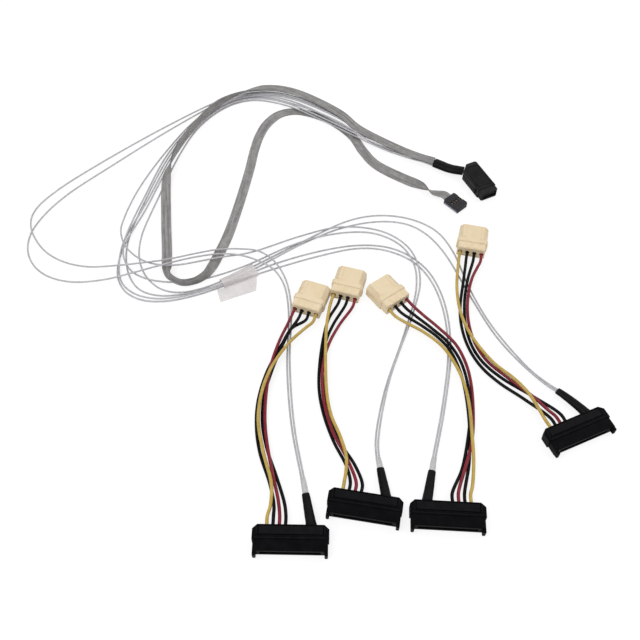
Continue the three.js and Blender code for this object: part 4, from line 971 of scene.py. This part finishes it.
@dataclass
class Wire:
    """One round wire between two of the cable's pieces.

    Args:
        node: Name of the solid it replaces.
        route: Its points in millimetres.
        radius: Its radius in millimetres.
        finish: Its jacket.
        slot: The record's material slot; not used.
    """

    node: str
    route: list[Point]
    radius: float
    finish: Finish
    slot: str

    def build(self) -> bpy.types.Object:
        path = tucked(smooth_route(self.route, WIRE_SAMPLES), TUCKED_IN)
        metres = (path + SHIFT) * MM
        data = bpy.data.curves.new(self.node + "_jacket", "CURVE")
        data.dimensions = "3D"
        data.bevel_depth = self.radius * MM
        data.bevel_resolution = 4
        data.use_fill_caps = True
        spline = data.splines.new("POLY")
        spline.points.add(len(metres) - 1)
        flat = np.column_stack([metres, np.ones(len(metres))]).ravel()
        spline.points.foreach_set("co", flat)
        spline.use_smooth = True
        data.materials.append(self.finish.material())
        made = bpy.data.objects.new(self.node + "_jacket", data)
        bpy.context.scene.collection.objects.link(made)
        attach(made, "root")
        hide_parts(self.node)
        LOG.info("wire %s: %.0f mm, %s", self.node, length_of(path), self.finish.name)
        return made


@dataclass
class Ribbon:
    """The flat ribbon: eight round conductors side by side, which rolls on its way."""

    def section(self) -> np.ndarray:
        """Outline of the ribbon: |v| = edge + ridge |sin(conductors u)| across it.

        Returns:
            n x 2 array of (across, through) in millimetres.
        """
        steps = CONDUCTORS * 6
        share = np.linspace(0.0, 1.0, steps + 1)
        across = (share - 0.5) * RIBBON_WIDTH
        ridge = np.abs(np.sin(math.pi * CONDUCTORS * share)) ** 0.7
        height = RIBBON_THICKNESS / 2.0 * (0.55 + 0.45 * ridge)
        height[0] = height[-1] = RIBBON_THICKNESS * 0.12
        top = np.column_stack([across, height])
        bottom = np.column_stack([across[::-1], -height[::-1]])
        return np.vstack([top, bottom])[::-1]

    def build(self) -> bpy.types.Object:
        samples = smooth_route(RIBBON_ROUTE, RIBBON_SAMPLES)
        path = samples[:, :3]
        steps = np.linspace(0, len(RIBBON_ROUTE) - 1, len(samples))
        given = [point[3] for point in RIBBON_ROUTE]
        rolls = np.radians(np.interp(steps, np.arange(len(given)), given))
        across, through = frames_along(path, rolls)
        outline = self.section()
        rings = (
            path[:, None, :]
            + across[:, None, :] * outline[None, :, :1]
            + through[:, None, :] * outline[None, :, 1:]
        )
        rings[:, :, 2] = np.maximum(rings[:, :, 2], 0.02)
        made = Shape.empty().rings(rings).piece(
            "ribbon_ridged", RIBBON_GREY, "ribbon", smooth=True
        )
        share = outline[:, 0] / RIBBON_WIDTH + 0.5
        across_share = made.data.attributes.new("across", "FLOAT", "POINT")
        across_share.data.foreach_set("value", np.tile(share, len(path)))
        covered = np.concatenate([[0.0], np.cumsum(np.linalg.norm(np.diff(path, axis=0), axis=1))])
        along_share = made.data.attributes.new("along", "FLOAT", "POINT")
        along_share.data.foreach_set("value", np.repeat(covered / STREAK_LENGTH, len(outline)))
        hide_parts("sideband_ribbon")
        LOG.info("ribbon: %.0f mm", length_of(path))
        return made


def dress_node(node: str, finish: Finish, soften: float) -> None:
    """Gives a solid its material and softened edges.

    Args:
        node: Name of the solid.
        finish: Its surface.
        soften: Width of the rounded edges in millimetres, 0 for none.
    """
    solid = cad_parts[node]
    solid.data.materials.clear()
    solid.data.materials.append(finish.material())
    if soften > 0.0:
        round_edges(solid, soften)
    LOG.info("solid %s: %s", node, finish.name)


@dataclass
class DriveConnector:
    """A wide drive connector with its boot.

    Args:
        number: 1 to 4.
        place: Where it lies.
    """

    number: int
    place: Place

    def build(self) -> None:
        """Dresses the solids and adds contacts, collars, ribs and the shrunk boot."""
        dress_node(f"drive_housing_{self.number}", HOUSING_BLACK, 0.22)
        dress_node(f"drive_cover_{self.number}", COVER_BLACK, 0.12)
        dress_node(f"contact_insert_{self.number}", HOUSING_BLACK, 0.08)
        self._contacts()
        self._collars()
        self._ribs()
        self._boot()

    def _contacts(self) -> None:
        """Adds a gold strip for each contact, above and below the insert."""
        shape = Shape.empty()
        levels = (
            (INSERT_HIGH - CONTACT_SUNK, INSERT_HIGH + CONTACT_PROUD),
            (INSERT_LOW - CONTACT_PROUD, INSERT_LOW + CONTACT_SUNK),
        )
        for i in range(DRIVE_CONTACTS):
            x = (i - (DRIVE_CONTACTS - 1) / 2.0) * DRIVE_CONTACT_PITCH
            left, right = x - DRIVE_CONTACT_HALF, x + DRIVE_CONTACT_HALF
            for low, high in levels:
                shape.box((left, DRIVE_CONTACT_FAR, low), (right, DRIVE_CONTACT_NEAR, high))
        shape.piece(f"drive_contacts_{self.number}", GOLD, "black_plastic", self.place, 0.04)

    def _collars(self) -> None:
        """Adds a collar where each power wire enters."""
        shape = Shape.empty()
        for x in WIRE_X.values():
            shape.turned((x, 0.0, WIRE_Z), COLLAR_PROFILE, 24)
        shape.piece(
            f"wire_collars_{self.number}", COVER_BLACK, "black_plastic", self.place, smooth=True
        )

    def _ribs(self) -> None:
        """Adds the long line across the top and a short rib at each end."""
        shape = Shape.empty()
        shape.box((-20.4, -8.4, 7.9), (20.4, -7.7, 8.18))
        for side in (-1.0, 1.0):
            shape.box((side * 19.4 - 0.45, -6.2, 7.9), (side * 19.4 + 0.45, -1.6, 8.14))
        shape.piece(f"drive_ribs_{self.number}", COVER_BLACK, "black_plastic", self.place, 0.1)

    def _boot(self) -> None:
        """Adds the shrunk boot.

        Its middle line is the curve (1 - s)^2 base + 2 s (1 - s) bend + s^2 tip, and it
        tapers from the root to the tip with a slight swelling at the root.
        """
        rows = 40
        tip_at, way = BOOT_ENDS[self.number - 1]
        base = self.place.on_table(np.array([[BOOT_X, BOOT_GAP, BOOT_ROOT_Z]]))[0] / MM - SHIFT
        tip = np.array([tip_at[0], tip_at[1], BOOT_TIP_Z])
        reach = 0.5 * float(np.linalg.norm((tip - base)[:2]))
        bend = np.array([tip_at[0] - way[0] * reach, tip_at[1] - way[1] * reach, 0.0])
        bend[2] = (BOOT_ROOT_Z + BOOT_TIP_Z) / 2.0
        share = np.linspace(0.0, 1.0, rows)[:, None]
        path = (1 - share) ** 2 * base + 2 * share * (1 - share) * bend + share**2 * tip
        angle = math.radians(self.place.turn)
        root_way = np.array([-math.sin(angle), math.cos(angle)])
        headings = (1 - share) * root_way + share * np.array(way)
        halves = (1 - share) * np.array(BOOT_ROOT_HALVES) + share * np.array(BOOT_TIP_HALVES)
        halves = halves * (1.0 + 0.05 * np.exp(-((share - 0.04) / 0.05) ** 2))
        halves[-2:] *= np.array(LIP_SHARES)
        rings = oval_rings(path, headings, halves, 32, 0.012, self.number)
        boot = Shape.empty().rings(rings).piece(
            f"boot_skin_{self.number}", SHRINK_BLACK, "boot", smooth=True
        )
        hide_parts(f"data_boot_{self.number}")
        if self.number <= len(WRAP_LENGTHS):
            self._wrap(tip, np.array(way), WRAP_LENGTHS[self.number - 1])

    def _wrap(self, tip: np.ndarray, way: np.ndarray, length: float) -> None:
        """Adds the clear wrap round the two data wires, from the boot's tip on.

        Args:
            tip: Tip of the boot.
            way: Horizontal direction of the wires.
            length: Length of the wrap in millimetres.
        """
        rows = 24
        share = np.linspace(0.0, 1.0, rows)[:, None]
        path = tip + share * length * np.array([way[0], way[1], -0.06])
        headings = np.repeat(way[None, :], rows, axis=0)
        halves = (1 - share) * np.array(WRAP_ROOT_HALVES) + share * np.array(WRAP_TIP_HALVES)
        rings = oval_rings(path, headings, halves, 28, 0.03, 3 + self.number)
        rings[:, :, 2] = np.maximum(rings[:, :, 2], 0.15)
        Shape.empty().rings(rings).piece(
            f"clear_wrap_{self.number}", WRAP_FILM, "label", smooth=True
        )


@dataclass
class PowerConnector:
    """A pale four-pin power connector.

    Args:
        number: 1 to 4.
        place: Where it lies.
    """

    number: int
    place: Place

    def build(self) -> None:
        """Dresses the housing and adds its metal pins, painted shade rings for the wire holes and ribs."""
        dress_node(f"power_housing_{self.number}", IVORY, 0.35)
        self._pins()
        self._hole_shades()
        self._ribs()

    def _pins(self) -> None:
        """Adds a metal skin with a rounded tip over each pin."""
        shape = Shape.empty()
        for x in PIN_X:
            shape.turned((x, 0.0, PIN_Z), PIN_PROFILE, 24)
        shape.piece(f"power_pins_{self.number}", TIN, "cream_plastic", self.place, smooth=True)

    def _hole_shades(self) -> None:
        """Adds a flat dark ring round each wire where it enters: painted shade standing in for the hole's
        shade.
        """
        shape = Shape.empty()
        for x in PIN_X:
            shape.turned((x, -0.01, PIN_Z), HOLE_SHADE_PROFILE, 24)
        shape.piece(f"power_hole_shades_{self.number}", PAINTED_HOLE_SHADE, "cream_plastic", self.place)

    def _ribs(self) -> None:
        """Adds a pad over each wire channel and a rib along each side of the top."""
        shape = Shape.empty()
        for x in PIN_X:
            shape.box((x - 1.75, 0.6, 9.4), (x + 1.75, 5.7, 9.85))
        for side in (-1.0, 1.0):
            shape.box((side * 6.4 - 1.1, 10.1, 9.7), (side * 6.4 + 1.1, 21.2, 10.15))
        shape.piece(f"power_ribs_{self.number}", IVORY, "cream_plastic", self.place, 0.18)


@dataclass
class Plug:
    """The right-angled multi-lane plug with its shrunk sleeve."""

    def build(self) -> None:
        """Dresses the plug and adds its contacts, seam and sleeve."""
        dress_node("plug_housing", PLUG_BLACK, 0.4)
        dress_node("plug_cover", LID_BLACK, 0.15)
        dress_node("plug_card", CARD_DARK, 0.05)
        self._contacts()
        self._details()
        self._sleeve()

    def _contacts(self) -> None:
        """Adds a gold strip for each contact, above and below the card."""
        shape = Shape.empty()
        for i in range(PLUG_CONTACTS):
            y = (i - (PLUG_CONTACTS - 1) / 2.0) * PLUG_CONTACT_PITCH
            near, far = y - PLUG_CONTACT_HALF, y + PLUG_CONTACT_HALF
            for low, high in ((4.98, 5.06), (4.04, 4.12)):
                shape.box((PLUG_CONTACT_NEAR, near, low), (PLUG_CONTACT_FAR, far, high))
        shape.piece("plug_contacts", GOLD, "card", PLUG)

    def _details(self) -> None:
        """Adds the lip, the rails on top, the seam on each side and the grip ribs."""
        shape = Shape.empty()
        shape.box((26.2, -7.0, 8.75), (27.0, 7.0, 9.05))
        shape.box((17.0, -6.9, 8.7), (24.0, -6.3, 9.02))
        shape.box((17.0, 6.3, 8.7), (24.0, 6.9, 9.02))
        for side in (-1.0, 1.0):
            shape.box((8.0, side * 7.5 - 0.12, 4.3), (22.0, side * 7.5 + 0.12, 4.7))
        for i in range(4):
            x = 9.0 + 1.5 * i
            shape.box((x, -3.6, 8.8), (x + 0.6, 3.6, 9.05))
        shape.piece("plug_trim", LID_BLACK, "plug_plastic", PLUG, 0.1)

    def _sleeve(self) -> None:
        """Adds the shrunk sleeve round the wires and the ribbon's end."""
        path = smooth_route(SLEEVE_PATH, 10)
        headings = np.gradient(path[:, :2], axis=0)
        headings[0] = SLEEVE_START_WAY
        headings[-1] = SLEEVE_END_WAY
        share = np.linspace(0.0, 1.0, len(path))[:, None]
        halves = (1 - share) * np.array(SLEEVE_ROOT_HALVES) + share * np.array(SLEEVE_TIP_HALVES)
        halves[-2:] *= np.array(LIP_SHARES)
        rings = oval_rings(path, headings, halves, 36, 0.012, 2)
        rings[:, :, 2] = np.maximum(rings[:, :, 2], 0.05)
        made = Shape.empty().rings(rings).piece(
            "sleeve_skin", SHRINK_BLACK, "sleeve", smooth=True
        )
        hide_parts("plug_sleeve")


@dataclass
class SidebandConnector:
    """The small two-row connector at the end of the ribbon."""

    def build(self) -> None:
        """Dresses the housing and adds crimps, a painted highlight in pale strips low on one side and one
        end, and the ridges on top.
        """
        dress_node("sideband_housing", SIDEBAND_GREY, 0.12)
        shape = Shape.empty()
        for i in range(SIDEBAND_COLUMNS):
            y = (i - (SIDEBAND_COLUMNS - 1) / 2.0) * SIDEBAND_PITCH
            shape.box((5.8, y - 0.5, 3.85), (8.2, y + 0.5, 4.3))
            shape.box((6.7, y - 0.62, 4.2), (7.2, y + 0.62, 4.6))
        shape.piece("sideband_crimps", CRIMP_BROWN, "grey_plastic", SIDEBAND, 0.06)
        # Pale strips low on the side and the end that face the camera: a painted highlight.
        edge = Shape.empty()
        edge.box((0.8, -5.28, 0.5), (13.4, -5.1, 1.9))
        edge.box((13.9, -4.8, 0.3), (14.06, 4.8, 0.75))
        edge.piece("sideband_highlight_strips", SIDEBAND_HIGHLIGHT, "grey_plastic", SIDEBAND, 0.05)
        ridges = Shape.empty()
        for i in range(SIDEBAND_COLUMNS + 1):
            y = (i - SIDEBAND_COLUMNS / 2.0) * SIDEBAND_PITCH
            ridges.box((1.0, y - 0.18, 5.0), (4.6, y + 0.18, 5.22))
            ridges.box((9.4, y - 0.18, 5.0), (13.2, y + 0.18, 5.22))
        ridges.piece("sideband_ridges", SIDEBAND_GREY, "grey_plastic", SIDEBAND, 0.06)


def dress_label() -> None:
    """Gives the folded label its clear film."""
    dress_node("label_flag", LABEL_FILM, 0.0)


def lay_wires() -> None:
    """Lays the data wires and the power wires on their routes."""
    for node, route in DATA_ROUTES.items():
        Wire(node, route, DATA_RADIUS, DATA_CLEAR, "data_jacket").build()
    jackets = {"yellow": WIRE_YELLOW, "red": WIRE_RED, "black": WIRE_BLACK}
    for node, route in POWER_ROUTES.items():
        colour = node.split("_")[3]
        Wire(node, route, POWER_RADIUS, jackets[colour], "jacket_" + colour).build()


def main() -> None:
    """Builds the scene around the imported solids."""
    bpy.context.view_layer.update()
    CameraRig().build()
    lay_wires()
    Ribbon().build()
    Studio().build()
    Plug().build()
    SidebandConnector().build()
    dress_label()
    for i, place in enumerate(DRIVES):
        DriveConnector(i + 1, place).build()
    for i, place in enumerate(POWERS):
        PowerConnector(i + 1, place).build()


if __name__ == "__main__":
    main()
